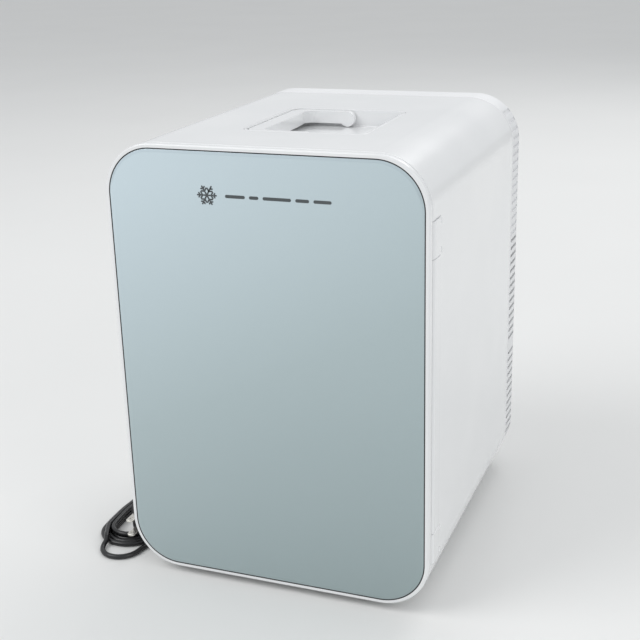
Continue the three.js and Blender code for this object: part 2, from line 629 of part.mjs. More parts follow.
// From the connector down to the floor, round the rear corner and forward to the coil.
const LEAD_ROUTE = [
  [MAINS_X, RELIEF_BACK + GAP, SOCKET_Z],
  [MAINS_X, RELIEF_BACK + 9, SOCKET_Z - 1],
  [-70.5, 207, 52],
  [-72, 215, 40],
  [-75, 218, 26],
  [-81, 217, 13],
  [-91, 213, 4.6],
  [-104, 206, FLOOR_Z],
  [-121, 196, FLOOR_Z],
  [-138, 181, FLOOR_Z],
  [-152, 161, FLOOR_Z],
  [-161, 137, FLOOR_Z],
  [-166, 110, FLOOR_Z],
  [-168.5, 80, FLOOR_Z],
  [-170, 50, FLOOR_Z],
  [-172, 20, FLOOR_Z],
  [-174.5, -8, FLOOR_Z],
  [-176.3, -27, FLOOR_Z],
  [COIL.x - COIL_OUT, -45.4, FLOOR_Z],
];

// From the coil: a loose loop at the front, back along the casing, and round into the plug.
const TAIL_ROUTE = [
  [-161.9, -122.5, 4.6],
  [-161.7, -126.3, 3.2],
  [-160.5, -130.5, FLOOR_Z],
  [-157.3, -135, FLOOR_Z],
  [-152.1, -138.5, FLOOR_Z],
  [-146, -139.7, FLOOR_Z],
  [-139.9, -138.5, FLOOR_Z],
  [-134.7, -135, FLOOR_Z],
  [-131.2, -129.8, FLOOR_Z],
  [-129.6, -123, FLOOR_Z],
  [-127.9, -115.5, FLOOR_Z],
  [-125.2, -107, FLOOR_Z],
  [-122.8, -98, FLOOR_Z],
  [-121.3, -86, FLOOR_Z],
  [-121, -66, FLOOR_Z],
  [-121, -42, FLOOR_Z],
  [-121.8, -20, FLOOR_Z],
  [-126, -2, FLOOR_Z],
  [-136, 12.5, 2.8],
  [-149.5, 15.5, 4.6],
  [-161, 7.5, 8],
  [-163.5, -7, 11.5],
  [-158.5, -21.5, 15],
  [-148.5, -33, 18.4],
  [-140.5, -43.5, 20.7],
  [PLUG.x, -52, PLUG.z],
  [PLUG.x, PLUG_RELIEF_BACK + GAP, PLUG.z],
];

function tube(route, steps) {
  const section = new THREE.Shape();
  const sides = 8;
  for (let i = 0; i < sides; i += 1) {
    const turn = ((i + 0.5) * 2 * Math.PI) / sides;
    const point = [(CORD / 2) * Math.cos(turn), (CORD / 2) * Math.sin(turn)];
    if (i === 0) section.moveTo(...point);
    else section.lineTo(...point);
  }
  section.closePath();
  const path = new THREE.CatmullRomCurve3(route.map((p) => new THREE.Vector3(...p)), false, 'centripetal');
  return solid(new THREE.ExtrudeGeometry(section, { steps, extrudePath: path, bevelEnabled: false }));
}

// The coil's turns all lie inside one ring with straight sides and round ends.
function stadium(radius) {
  const shape = new THREE.Shape();
  shape.absarc(COIL.x, COIL.y + COIL.halfRun, radius, 0, Math.PI);
  shape.absarc(COIL.x, COIL.y - COIL.halfRun, radius, Math.PI, 2 * Math.PI);
  return shape;
}

function cordCoil() {
  const ring = stadium(COIL_LIMIT);
  const inner = COIL.radius - (COIL_LIMIT - COIL.radius);
  return cut(slabZ(ring, 0, COIL_HEIGHT, 14), slabZ(stadium(inner), -1, COIL_HEIGHT + 1, 14));
}

function plugBody() {
  const { x, z, width, thickness } = PLUG;
  const block = slabY(roundedRect(x, z, thickness / 2, width / 2, 5), PLUG_FRONT, PLUG_BODY_BACK, 4);
  const relief = taperedRelief(PLUG_BODY_BACK - 1, PLUG_RELIEF_BACK, x, z, 5, 3);
  const seats = [-1, 1].map((hand) => {
    const height = z + hand * 6.35;
    return box(x - 3.5, x + 3.5, PLUG_FRONT - 1, PLUG_FRONT + 4, height - 1.1, height + 1.1);
  });
  return cut(join(block, relief), ...seats);
}

function plugBlade() {
  const width = 6.3;
  const plan = new THREE.Shape();
  plan.moveTo(-width / 2, 20);
  plan.lineTo(-width / 2, 3);
  plan.quadraticCurveTo(-width / 2, 0, 0, 0);
  plan.quadraticCurveTo(width / 2, 0, width / 2, 3);
  plan.lineTo(width / 2, 20);
  plan.closePath();
  return cut(slabZ(plan, -0.75, 0.75, 4), rodZ(0, 4.5, 1.5, -2, 2, 12));
}

const blade = plugBlade();
add(lead, 'cord_connector', cordConnector(), blackPlastic);
add(lead, 'power_cord_lead', tube(LEAD_ROUTE, 38), blackRubber);
add(lead, 'power_cord_coil', cordCoil(), blackRubber);
add(lead, 'power_cord_tail', tube(TAIL_ROUTE, 38), blackRubber);
add(lead, 'plug_body', plugBody(), blackPlastic);
add(lead, 'plug_blade_upper', blade, brightPin).position.set(PLUG.x, PLUG.tipY, PLUG.z + 6.35);
add(lead, 'plug_blade_lower', blade, brightPin).position.set(PLUG.x, PLUG.tipY, PLUG.z - 6.35);

export default model;
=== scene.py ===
import json
import math

import bmesh
import bpy
from mathutils import Matrix, Vector


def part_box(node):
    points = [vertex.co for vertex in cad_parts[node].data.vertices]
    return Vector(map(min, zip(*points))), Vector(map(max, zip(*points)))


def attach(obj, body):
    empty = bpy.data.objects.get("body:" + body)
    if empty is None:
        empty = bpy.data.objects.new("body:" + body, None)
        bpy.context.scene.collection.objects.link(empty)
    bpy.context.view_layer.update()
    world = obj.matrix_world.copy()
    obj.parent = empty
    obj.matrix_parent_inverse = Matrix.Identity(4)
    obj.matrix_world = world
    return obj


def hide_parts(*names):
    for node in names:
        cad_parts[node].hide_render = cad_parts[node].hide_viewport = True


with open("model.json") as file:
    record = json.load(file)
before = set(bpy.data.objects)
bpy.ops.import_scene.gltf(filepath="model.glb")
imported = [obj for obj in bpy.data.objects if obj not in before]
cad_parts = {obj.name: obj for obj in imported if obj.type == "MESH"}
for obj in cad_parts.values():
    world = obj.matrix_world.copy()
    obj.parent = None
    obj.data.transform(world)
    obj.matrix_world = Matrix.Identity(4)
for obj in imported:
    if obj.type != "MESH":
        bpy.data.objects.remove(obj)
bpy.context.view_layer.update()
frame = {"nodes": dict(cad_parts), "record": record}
print("frame loaded:", len(frame["nodes"]), "nodes")

mm = 0.001


def corners(node):
    low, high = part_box(node)
    return Vector(low), Vector(high)


shellLow, shellHigh = corners("outer_shell")
doorLow, doorHigh = corners("door_frame")
panelLow, panelHigh = corners("rear_panel")
midZ = (shellLow.z + shellHigh.z) / 2
halfWidth = shellHigh.x
halfHeight = (shellHigh.z - shellLow.z) / 2
cornerRadius = 38 * mm
jointAt = {j["name"]: Vector(j["pos_m"]) for j in frame["record"]["behaviour"]["joints"]}
hinge = jointAt["door_hinge"]


# camera, at the angle that the fridge is looked at from
cameraSetup = {
    "place": (0.3245, -0.8619, 0.4922),
    "azimuth": 21.4,
    "elevation": 19.03,
    "roll": -1.57,
    "lens": 66.03,
}


def makeCamera(setup):
    azimuth, elevation, roll = (math.radians(setup[k]) for k in ("azimuth", "elevation", "roll"))
    flat = math.cos(elevation)
    back = Vector((math.sin(azimuth) * flat, -math.cos(azimuth) * flat, math.sin(elevation)))
    across = Vector((math.cos(azimuth), math.sin(azimuth), 0))
    up = back.cross(across)
    right = math.cos(roll) * across + math.sin(roll) * up
    above = math.cos(roll) * up - math.sin(roll) * across
    turn = Matrix((right, above, back)).transposed().to_4x4()
    camera = bpy.data.objects.new("camera", bpy.data.cameras.new("camera"))
    camera.data.lens = setup["lens"]
    camera.matrix_world = Matrix.Translation(setup["place"]) @ turn
    bpy.context.scene.collection.objects.link(camera)
    bpy.context.scene.camera = camera


makeCamera(cameraSetup)
print("camera placed")


# materials: each starts from a Principled shader whose plain numbers sit on its own sockets
def startMaterial(name, metallic=0.0, coat=0.0, coatRoughness=0.05, specular=0.5):
    material = bpy.data.materials.new(name)
    material.use_nodes = True
    shader = material.node_tree.nodes["Principled BSDF"]
    shader.inputs["Metallic"].default_value = metallic
    shader.inputs["Coat Weight"].default_value = coat
    shader.inputs["Coat Roughness"].default_value = coatRoughness
    shader.inputs["Specular IOR Level"].default_value = specular
    place = material.node_tree.nodes.new("ShaderNodeTexCoord").outputs["Object"]
    return material, shader, place


def addNoise(material, place, scale, detail=3.0, stretch=(1, 1, 1)):
    nodes, links = material.node_tree.nodes, material.node_tree.links
    mapping = nodes.new("ShaderNodeMapping")
    mapping.inputs["Scale"].default_value = stretch
    noise = nodes.new("ShaderNodeTexNoise")
    noise.inputs["Scale"].default_value = scale
    noise.inputs["Detail"].default_value = detail
    links.new(place, mapping.inputs["Vector"])
    links.new(mapping.outputs["Vector"], noise.inputs["Vector"])
    return noise.outputs["Fac"]


def addRamp(material, source, stops):
    ramp = material.node_tree.nodes.new("ShaderNodeValToRGB")
    elements = ramp.color_ramp.elements
    while len(elements) < len(stops):
        elements.new(0.5)
    for element, (at, colour) in zip(elements, stops):
        element.position = at
        element.color = (*colour, 1)
    material.node_tree.links.new(source, ramp.inputs["Fac"])
    return ramp.outputs["Color"]


def addRange(material, source, low, high):
    spread = material.node_tree.nodes.new("ShaderNodeMapRange")
    spread.inputs["From Min"].default_value = 0.3
    spread.inputs["From Max"].default_value = 0.7
    spread.inputs["To Min"].default_value = low
    spread.inputs["To Max"].default_value = high
    material.node_tree.links.new(source, spread.inputs["Value"])
    return spread.outputs["Result"]


def addBump(material, shader, source, strength, depth):
    bump = material.node_tree.nodes.new("ShaderNodeBump")
    bump.inputs["Strength"].default_value = strength
    bump.inputs["Distance"].default_value = depth
    material.node_tree.links.new(source, bump.inputs["Height"])
    material.node_tree.links.new(bump.outputs["Normal"], shader.inputs["Normal"])


def plasticFinish(name, pale, dark, roughness, grainScale, grainDepth, coat=0.0, strength=0.3):
    material, shader, place = startMaterial(name, coat=coat)
    links = material.node_tree.links
    clouds = addNoise(material, place, 9, 2)
    grain = addNoise(material, place, grainScale, 4)
    links.new(addRamp(material, clouds, [(0.35, dark), (0.65, pale)]), shader.inputs["Base Color"])
    links.new(addRange(material, clouds, *roughness), shader.inputs["Roughness"])
    addBump(material, shader, grain, strength, grainDepth)
    return material


def metalFinish(name, pale, dark, roughness, stretch, scale=120):
    material, shader, place = startMaterial(name, metallic=1.0)
    links = material.node_tree.links
    streaks = addNoise(material, place, scale, 4, stretch)
    links.new(addRamp(material, streaks, [(0.3, dark), (0.7, pale)]), shader.inputs["Base Color"])
    links.new(addRange(material, streaks, *roughness), shader.inputs["Roughness"])
    addBump(material, shader, streaks, 0.15, 0.00005)
    return material


# back-painted glass with a clear polished face: plain blue-grey paint under a painted reflection that makes it paler
# and bluer towards the top left
paneLook = {
    "foot": (0.305, 0.378, 0.385),
    "middle": (0.42, 0.51, 0.53),
    "head": (0.62, 0.73, 0.79),
    "tilt": 26,
    "span": (-0.049, 0.362),
    "flake": 0.02,
}


def paneFinish(look):
    material, shader, place = startMaterial("backPaintedGlass", coat=1.0, coatRoughness=0.015)
    nodes, links = material.node_tree.nodes, material.node_tree.links
    shader.inputs["Metallic"].default_value = 0.35
    # painted reflection: the base colour runs from foot to head along a height tilted towards the top left, standing in
    # for the lighter surroundings seen in the glass
    lean = nodes.new("ShaderNodeMapping")
    lean.inputs["Rotation"].default_value = (0, math.radians(look["tilt"]), 0)
    links.new(place, lean.inputs["Vector"])
    split = nodes.new("ShaderNodeSeparateXYZ")
    links.new(lean.outputs["Vector"], split.inputs["Vector"])
    rise = nodes.new("ShaderNodeMapRange")
    rise.inputs["From Min"].default_value, rise.inputs["From Max"].default_value = look["span"]
    links.new(split.outputs["Z"], rise.inputs["Value"])
    stops = [(0.0, look["foot"]), (0.5, look["middle"]), (1.0, look["head"])]
    paintedReflection = addRamp(material, rise.outputs["Result"], stops)
    flake = addNoise(material, place, 2600, 2)
    tint = nodes.new("ShaderNodeHueSaturation")
    links.new(addRange(material, flake, 1 - look["flake"], 1 + look["flake"]), tint.inputs["Value"])
    links.new(paintedReflection, tint.inputs["Color"])
    links.new(tint.outputs["Color"], shader.inputs["Base Color"])
    links.new(addRange(material, addNoise(material, place, 14, 3), 0.10, 0.16), shader.inputs["Roughness"])
    return material


def foamFinish():
    material, shader, place = startMaterial("beadFoam")
    nodes, links = material.node_tree.nodes, material.node_tree.links
    beads = nodes.new("ShaderNodeTexVoronoi")
    beads.inputs["Scale"].default_value = 260
    links.new(place, beads.inputs["Vector"])
    stops = [(0.0, (0.88, 0.88, 0.86)), (0.8, (0.70, 0.70, 0.68))]
    links.new(addRamp(material, beads.outputs["Distance"], stops), shader.inputs["Base Color"])
    shader.inputs["Roughness"].default_value = 0.9
    addBump(material, shader, beads.outputs["Distance"], 0.6, -0.0006)
    return material


def boardFinish():
    material, shader, place = startMaterial("lacqueredBoard", coat=0.4)
    nodes, links = material.node_tree.nodes, material.node_tree.links
    tracks = nodes.new("ShaderNodeTexBrick")
    tracks.inputs["Scale"].default_value = 90
    tracks.inputs["Mortar Size"].default_value = 0.03
    tracks.inputs["Color1"].default_value = (0.02, 0.13, 0.05, 1)
    tracks.inputs["Color2"].default_value = (0.02, 0.16, 0.06, 1)
    tracks.inputs["Mortar"].default_value = (0.05, 0.28, 0.12, 1)
    swap = nodes.new("ShaderNodeMapping")
    swap.inputs["Rotation"].default_value = (math.pi / 2, 0, 0)
    links.new(place, swap.inputs["Vector"])
    links.new(swap.outputs["Vector"], tracks.inputs["Vector"])
    links.new(tracks.outputs["Color"], shader.inputs["Base Color"])
    links.new(addRange(material, addNoise(material, place, 60, 3), 0.3, 0.5), shader.inputs["Roughness"])
    return material


finishes = {
    "glossWhite": plasticFinish("glossWhitePlastic", (0.83, 0.835, 0.84), (0.80, 0.808, 0.815),
                                (0.16, 0.24), 520, 0.00004, coat=0.5, strength=0.12),
    "satinWhite": plasticFinish("satinWhitePlastic", (0.80, 0.805, 0.81), (0.765, 0.77, 0.78),
                                (0.42, 0.52), 1900, 0.00008),
    "blackMoulded": plasticFinish("blackMouldedPlastic", (0.024, 0.024, 0.026), (0.014, 0.014, 0.015),
                                  (0.36, 0.50), 2200, 0.0001),
    "cordJacket": plasticFinish("cordJacket", (0.020, 0.020, 0.022), (0.010, 0.010, 0.011),
                                (0.24, 0.36), 700, 0.00006),
    "footRubber": plasticFinish("footRubber", (0.045, 0.045, 0.046), (0.028, 0.028, 0.029),
                                (0.75, 0.9), 1500, 0.0002),
    "sealGrey": plasticFinish("sealGrey", (0.50, 0.515, 0.525), (0.43, 0.445, 0.455),
                              (0.55, 0.68), 900, 0.0001),
    "printGrey": plasticFinish("printGrey", (0.085, 0.095, 0.10), (0.06, 0.07, 0.075),
                               (0.35, 0.45), 1500, 0.00002),
    "firedCeramic": plasticFinish("firedCeramic", (0.80, 0.79, 0.75), (0.72, 0.71, 0.67),
                                  (0.5, 0.6), 1200, 0.00005),
    "alloy": metalFinish("extrudedAlloy", (0.72, 0.73, 0.75), (0.56, 0.57, 0.59), (0.28, 0.42), (1, 8, 1)),
    "zincSteel": metalFinish("zincSteel", (0.66, 0.67, 0.69), (0.48, 0.49, 0.52), (0.22, 0.38), (1, 1, 6)),
    "nickel": metalFinish("nickelPlate", (0.80, 0.78, 0.73), (0.68, 0.66, 0.61), (0.12, 0.22), (1, 5, 1)),
    "pane": paneFinish(paneLook),
    "foam": foamFinish(),
    "board": boardFinish(),
}
print("materials ready:", len(finishes))


# modelling helpers
axisTurn = {
    "X": Matrix(((0, 0, 1), (1, 0, 0), (0, 1, 0))).to_4x4(),
    "Y": Matrix(((1, 0, 0), (0, 0, 1), (0, 1, 0))).to_4x4(),
    "Z": Matrix.Identity(4),
}


def keepMesh(name, bm, material=None):
    mesh = bpy.data.meshes.new(name)
    bm.to_mesh(mesh)
    bm.free()
    piece = bpy.data.objects.new(name, mesh)
    bpy.context.scene.collection.objects.link(piece)
    if material:
        mesh.materials.append(finishes[material])
    return piece


def bakeModifiers(piece):
    depsgraph = bpy.context.evaluated_depsgraph_get()
    mesh = bpy.data.meshes.new_from_object(piece.evaluated_get(depsgraph))
    worn = piece.data
    piece.modifiers.clear()
    piece.data = mesh
    bpy.data.meshes.remove(worn)


# a rounded block: its outline is drawn across the axis, and its two ends may have rounded rims
def block(centre, half, radius, low, high, axis="Y", rim=(0, 0), steps=20, rimSteps=4):
    bm = bmesh.new()
    corners = [(-1, -1), (1, -1), (1, 1), (-1, 1)]
    ring = [bm.verts.new((centre[0] + a * half[0], centre[1] + b * half[1], low)) for a, b in corners]
    bm.faces.new(ring)
    if radius:
        bmesh.ops.bevel(bm, geom=bm.verts[:], offset=radius, offset_type="OFFSET", affect="VERTICES",
                        segments=steps, profile=0.5, material=-1)
    return raiseOutline(bm, low, high, axis, rim, rimSteps)


def rod(centre, radius, low, high, axis="Y", rim=(0, 0), steps=48, rimSteps=3):
    bm = bmesh.new()
    place = Matrix.Translation((centre[0], centre[1], low))
    bmesh.ops.create_circle(bm, cap_ends=True, segments=steps, radius=radius, matrix=place)
    return raiseOutline(bm, low, high, axis, rim, rimSteps)


def raiseOutline(bm, low, high, axis, rim, rimSteps):
    made = bmesh.ops.extrude_face_region(bm, geom=bm.faces[:])
    raised = [v for v in made["geom"] if isinstance(v, bmesh.types.BMVert)]
    bmesh.ops.translate(bm, verts=raised, vec=(0, 0, high - low))
    for level, size in ((low, rim[0]), (high, rim[1])):
        edges = [e for e in bm.edges if size and all(abs(v.co.z - level) < 1e-7 for v in e.verts)]
        if edges:
            bmesh.ops.bevel(bm, geom=edges, offset=size, affect="EDGES", segments=rimSteps,
                            profile=0.5, material=-1)
    bmesh.ops.transform(bm, matrix=axisTurn[axis], verts=bm.verts[:])
    bmesh.ops.recalc_face_normals(bm, faces=bm.faces[:])
    return bm


def casingBlock(inset, low, high, rim=(0, 0), steps=20, rimSteps=4):
    radius = max(cornerRadius - inset, 4 * mm)
    return block((0, midZ), (halfWidth - inset, halfHeight - inset), radius, low, high, "Y", rim, steps, rimSteps)


def plainBox(low, high):
    bm = bmesh.new()
    low, high = Vector(low), Vector(high)
    bmesh.ops.create_cube(bm, size=1)
    bmesh.ops.scale(bm, vec=high - low, verts=bm.verts[:])
    bmesh.ops.translate(bm, vec=(low + high) / 2, verts=bm.verts[:])
    return bm


# several tools in one mesh, for one Boolean
def together(bms):
    whole = bmesh.new()
    for bm in bms:
        mesh = bpy.data.meshes.new("tool")
        bm.to_mesh(mesh)
        bm.free()
        whole.from_mesh(mesh)
        bpy.data.meshes.remove(mesh)
    return whole


def combine(piece, tools, operation="DIFFERENCE"):
    tool = keepMesh("tool", together(tools))
    change = piece.modifiers.new("shape", "BOOLEAN")
    change.operation = operation
    change.solver = "EXACT"
    change.use_self = operation != "INTERSECT" and len(tools) > 1
    change.object = tool
    bakeModifiers(piece)
    mesh = tool.data
    bpy.data.objects.remove(tool)
    bpy.data.meshes.remove(mesh)
    return piece


def finishEdges(piece, width=0.4 * mm, segments=2, angle=32):
    bm = bmesh.new()
    bm.from_mesh(piece.data)
    bmesh.ops.remove_doubles(bm, verts=bm.verts[:], dist=1e-6)
    bmesh.ops.dissolve_limit(bm, angle_limit=math.radians(0.4), verts=bm.verts[:], edges=bm.edges[:])
    bm.to_mesh(piece.data)
    bm.free()
    if width:
        bevel = piece.modifiers.new("edges", "BEVEL")
        bevel.width = width
        bevel.segments = segments
        bevel.limit_method = "ANGLE"
        bevel.angle_limit = math.radians(angle)
        bevel.use_clamp_overlap = True
        bakeModifiers(piece)
    shade(piece, angle)
    return smoothNormals(piece)


def smoothNormals(piece):
    weigh = piece.modifiers.new("normals", "WEIGHTED_NORMAL")
    weigh.keep_sharp = True
    weigh.weight = 50
    bakeModifiers(piece)
    return piece


def shade(piece, angle=32):
    bm = bmesh.new()
    bm.from_mesh(piece.data)
    for face in bm.faces:
        face.smooth = True
    for edge in bm.edges:
        edge.smooth = edge.is_manifold and edge.calc_face_angle(0) < math.radians(angle)
    bm.to_mesh(piece.data)
    bm.free()
    return piece


def settle(piece, body, nodes=()):
    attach(piece, body)
    if nodes:
        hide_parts(*nodes)
    return piece
print("helpers ready")


# mains lead: one curve from the connector, down to the floor, along the side, round its coil and into the plug
lead = {
    "diameter": 4.2 * mm,
    "exit": (-70, 184.1, 60),
    "coilCentre": (-152.3, -78.3),
    "coilHalfRun": 17,
    "strandRadii": (24.4, 20.0, 15.6),
    "floorStrand": 2.15,
    "upperStrand": 6.55,
    "arcPoints": 8,
    "toCoil": [(-70, 184.1, 60), (-70, 192.8, 59), (-70.5, 207, 52), (-72, 215, 40), (-75, 218, 26),
               (-81, 217, 13), (-91, 213, 4.6), (-104, 206, 2.4), (-121, 196, 2.15), (-138, 181, 2.15),
               (-152, 161, 2.15), (-161, 137, 2.15), (-166, 110, 2.15), (-168.5, 80, 2.15), (-170, 50, 2.15),
               (-172, 20, 2.15), (-174.5, -8, 2.15), (-176.3, -27, 2.15), (-176.7, -45.4, 2.15)],
    "toPlug": [(-167.2, -111.2, 6.55), (-163.9, -118.0, 6.4), (-161.9, -122.5, 4.6), (-161.7, -126.3, 3.2),
               (-160.5, -130.5, 2.3), (-157.3, -135, 2.15), (-152.1, -138.5, 2.15), (-146, -139.7, 2.15),
               (-139.9, -138.5, 2.15), (-134.7, -135, 2.15), (-131.2, -129.8, 2.15), (-129.6, -123, 2.15),
               (-127.9, -115.5, 2.15), (-125.2, -107, 2.15), (-122.8, -98, 2.15), (-121.3, -86, 2.15),
               (-121, -66, 2.15), (-121, -42, 2.15), (-121.8, -20, 2.15), (-126, -2, 2.15),
               (-136, 12.5, 2.8), (-149.5, 15.5, 4.6), (-161, 7.5, 8), (-163.5, -7, 11.5),
               (-158.5, -21.5, 15), (-148.5, -33, 18.4), (-140.5, -43.5, 20.7), (-137, -52, 21.4),
               (-137, -57.7, 21.4)],
}


# each turn goes down the outer side, round the front, back up the inner side and round the rear,
# where it steps to the next turn's radius and height; the last one leaves over the front
def coilPoints(plan):
    outer, middle, inner = plan["strandRadii"]
    low, high = plan["floorStrand"], plan["upperStrand"]
    turns = [(outer, middle, low, low, 0), (middle, inner, low, low, 0),
             (inner, inner, low, high, 2.2), (inner, middle, high, high, 0)]
    centreX, centreY = plan["coilCentre"]
    half, count = plan["coilHalfRun"], plan["arcPoints"]
    points = []
    for radius, nextRadius, height, nextHeight, tuck in turns:
        for i in range(count + 1):
            angle = math.pi + math.pi * i / count
            points.append((centreX + radius * math.cos(angle), centreY - half + radius * math.sin(angle), height))
        for i in range(count + 1):
            part = i / count
            here = radius + (nextRadius - radius) * part - tuck * math.sin(math.pi * part)
            rise = height + (nextHeight - height) * part
            angle = math.pi * part
            points.append((centreX + here * math.cos(angle), centreY + half + here * math.sin(angle), rise))
    for turn in (180, 195, 205):
        angle = math.radians(turn)
        points.append((centreX + middle * math.cos(angle), centreY - half + middle * math.sin(angle), high))
    return points


def makeLead(plan):
    points = plan["toCoil"] + coilPoints(plan) + plan["toPlug"]
    curve = bpy.data.curves.new("power_lead", "CURVE")
    curve.dimensions = "3D"
    spline = curve.splines.new("BEZIER")
    spline.bezier_points.add(len(points) - 1)
    for knot, point in zip(spline.bezier_points, points):
        knot.co = Vector(point) * mm
        knot.handle_left_type = "AUTO"
        knot.handle_right_type = "AUTO"
    curve.bevel_depth = plan["diameter"] / 2
    curve.bevel_resolution = 5
    curve.resolution_u = 6
    curve.use_fill_caps = True
    curve.materials.append(finishes["cordJacket"])
    piece = bpy.data.objects.new("power_lead", curve)
    bpy.context.scene.collection.objects.link(piece)
    return piece, sum(s.calc_length() for s in curve.splines)


powerLead, leadLength = makeLead(lead)
settle(powerLead, "cabinet", ["power_cord_lead", "power_cord_coil", "power_cord_tail"])
print("lead made, length", round(leadLength, 3))


# a turned form: a profile of (distance along the axis, radius) spun round its centre line
def turned(profile, centre, axis="Y", steps=32):
    bm = bmesh.new()
    line = [bm.verts.new((radius, 0, along)) for along, radius in profile]
    edges = [bm.edges.new(pair) for pair in zip(line, line[1:])]
    bmesh.ops.spin(bm, geom=line + edges, cent=(0, 0, 0), axis=(0, 0, 1), angle=math.tau,
                   steps=steps, use_merge=True)
    bmesh.ops.remove_doubles(bm, verts=bm.verts[:], dist=1e-6)
    bmesh.ops.translate(bm, verts=bm.verts[:], vec=(centre[0], centre[1], 0))
    bmesh.ops.transform(bm, matrix=axisTurn[axis], verts=bm.verts[:])
    bmesh.ops.recalc_face_normals(bm, faces=bm.faces[:])
    return bm


# the ringed, tapering sleeve that keeps a lead from being bent sharply
def reliefProfile(start, end, wide, narrow, rings, bore):
    step = (end - start) / rings
    profile = [(start, 0)]
    for i in range(rings):
        radius = wide + (narrow - wide) * i / (rings - 1)
        here = start + i * step
        profile += [(here, radius), (here + 0.62 * step, radius), (here + 0.70 * step, radius - 0.5 * mm),
                    (here + 0.94 * step, radius - 0.5 * mm)]
    return profile + [(end, narrow - 0.5 * mm), (end, bore), (end - 1 * mm, 0)]


connectorSetup = {
    "centre": (-70 * mm, 60 * mm),
    "nose": (9 * mm, 5 * mm, 4.9 * mm),
    "grip": (11 * mm, 7 * mm, 4 * mm),
    "relief": (4.6 * mm, 3.0 * mm),
    "gripRidges": 6,
}


def makeConnector(setup):
    low, high = corners("cord_connector")
    centre = setup["centre"]
    gripFront = panelHigh.y + 2 * mm
    gripBack = high.y - 20 * mm
    noseX, noseZ, noseRadius = setup["nose"]
    gripX, gripZ, gripRadius = setup["grip"]
    piece = keepMesh("lead_connector", block(centre, (gripX, gripZ), gripRadius, gripFront, gripBack,
                                             rim=(0.8 * mm, 1.6 * mm), steps=8), "blackMoulded")
    combine(piece, [block(centre, (noseX, noseZ), noseRadius, low.y, gripFront + 1 * mm,
                          rim=(0.4 * mm, 0), steps=10)], "UNION")
    grooves = []
    for i in range(setup["gripRidges"]):
        y = gripFront + 6 * mm + i * 2.2 * mm
        for hand in (-1, 1):
            x = centre[0] + hand * (gripX + 0.1 * mm)
            grooves.append(block((x, y), (0.9 * mm, 0.55 * mm), 0.5 * mm, centre[1] - 4.5 * mm,
                                 centre[1] + 4.5 * mm, "Z", steps=4))
    combine(piece, grooves)
    wide, narrow = setup["relief"]
    sleeve = reliefProfile(gripBack - 0.8 * mm, high.y, wide, narrow, 7, lead["diameter"] / 2)
    combine(piece, [turned(sleeve, centre)], "UNION")
    holes = [rod((centre[0] + hand * 4.3 * mm, centre[1]), 1.6 * mm, low.y - 1 * mm, low.y + 10 * mm, steps=16)
             for hand in (-1, 1)]
    combine(piece, holes)
    finishEdges(piece, 0.25 * mm)
    return settle(piece, "cabinet", ["cord_connector"])


plugSetup = {
    "centre": (-137 * mm, 21.4 * mm),
    "half": (7 * mm, 12.5 * mm),
    "corner": 5 * mm,
    "body": (-108 * mm, -78 * mm),
    "waist": 1.4 * mm,
    "relief": (5.0 * mm, 3.0 * mm),
    "bladeOffset": 6.35 * mm,
    "blade": (3.15 * mm, 0.75 * mm),
}


def makePlug(setup):
    x, z = setup["centre"]
    front, back = setup["body"]
    halfX, halfZ = setup["half"]
    low, high = corners("plug_body")
    piece = keepMesh("plug_grip", block((x, z), (halfX, halfZ), setup["corner"], front, back,
                                        rim=(0.7 * mm, 2.6 * mm), steps=10, rimSteps=5), "blackMoulded")
    scoops = []
    for hand in (-1, 1):
        for i in range(5):
            y = front + 9 * mm + i * 3 * mm
            scoops.append(block((x + hand * (halfX + 0.2 * mm), y), (1.0 * mm, 0.8 * mm), 0.7 * mm,
                                z - halfZ * 0.62, z + halfZ * 0.62, "Z", steps=4))
    combine(piece, scoops)
    wide, narrow = setup["relief"]
    sleeve = reliefProfile(back - 1.2 * mm, high.y, wide, narrow, 7, lead["diameter"] / 2)
    combine(piece, [turned(sleeve, (x, z))], "UNION")
    seats = [plainBox((x - 3.4 * mm, front - 1 * mm, z + hand * setup["bladeOffset"] - 1 * mm),
                      (x + 3.4 * mm, front + 3.9 * mm, z + hand * setup["bladeOffset"] + 1 * mm))
             for hand in (-1, 1)]
    combine(piece, seats)
    finishEdges(piece, 0.3 * mm)
    return settle(piece, "cabinet", ["plug_body"])


def makeBlade(name, node, setup):
    low, high = corners(node)
    x, z = (low.x + high.x) / 2, (low.z + high.z) / 2
    halfWidthBlade, halfThick = setup["blade"]
    tip, root = low.y, high.y
    bm = block((x, (tip + root) / 2), (halfWidthBlade, (root - tip) / 2), 2.4 * mm, z - halfThick, z + halfThick,
               "Z", rim=(0.35 * mm, 0.35 * mm), steps=8, rimSteps=3)
    piece = keepMesh(name, bm, "nickel")
    combine(piece, [rod((x, tip + 4.5 * mm), 1.5 * mm, z - 3 * mm, z + 3 * mm, "Z", steps=24)])
    finishEdges(piece, 0.12 * mm)
    return settle(piece, "cabinet", [node])


connector = makeConnector(connectorSetup)
plug = makePlug(plugSetup)
blades = [makeBlade("plug_pin_" + where, "plug_blade_" + where, plugSetup) for where in ("upper", "lower")]
print("connector and plug made")


# casing
casing = {
    "wall": 2.5 * mm,
    "frontRim": 0.9 * mm,
    "rearRim": 0.6 * mm,
    "recessHalf": (48.8 * mm, 53.55 * mm),
    "recessCentre": (6.5 * mm, -24.25 * mm),
    "recessCorner": 9.3 * mm,
}
hingeSetup = {
    "low": 42 * mm,
    "high": 299 * mm,
    "upperHeight": 26 * mm,
    "lowerHeight": 24 * mm,
    "proud": 1.2 * mm,
    "barrel": 11 * mm,
    "channel": 11.5 * mm,
    "frontRound": 8.5 * mm,
    "barrelHalf": 4 * mm,
    "bore": 1.85 * mm,
    "gap": 0.3 * mm,
    "skinReach": (8 * mm, 10.4 * mm),
    "skinCorner": 3.2 * mm,
    "groove": (1.1 * mm, 2.4 * mm),
    "nub": (1.3 * mm, 1.7 * mm),
}
barrelLow = hingeSetup["low"] + hingeSetup["lowerHeight"] + hingeSetup["gap"]
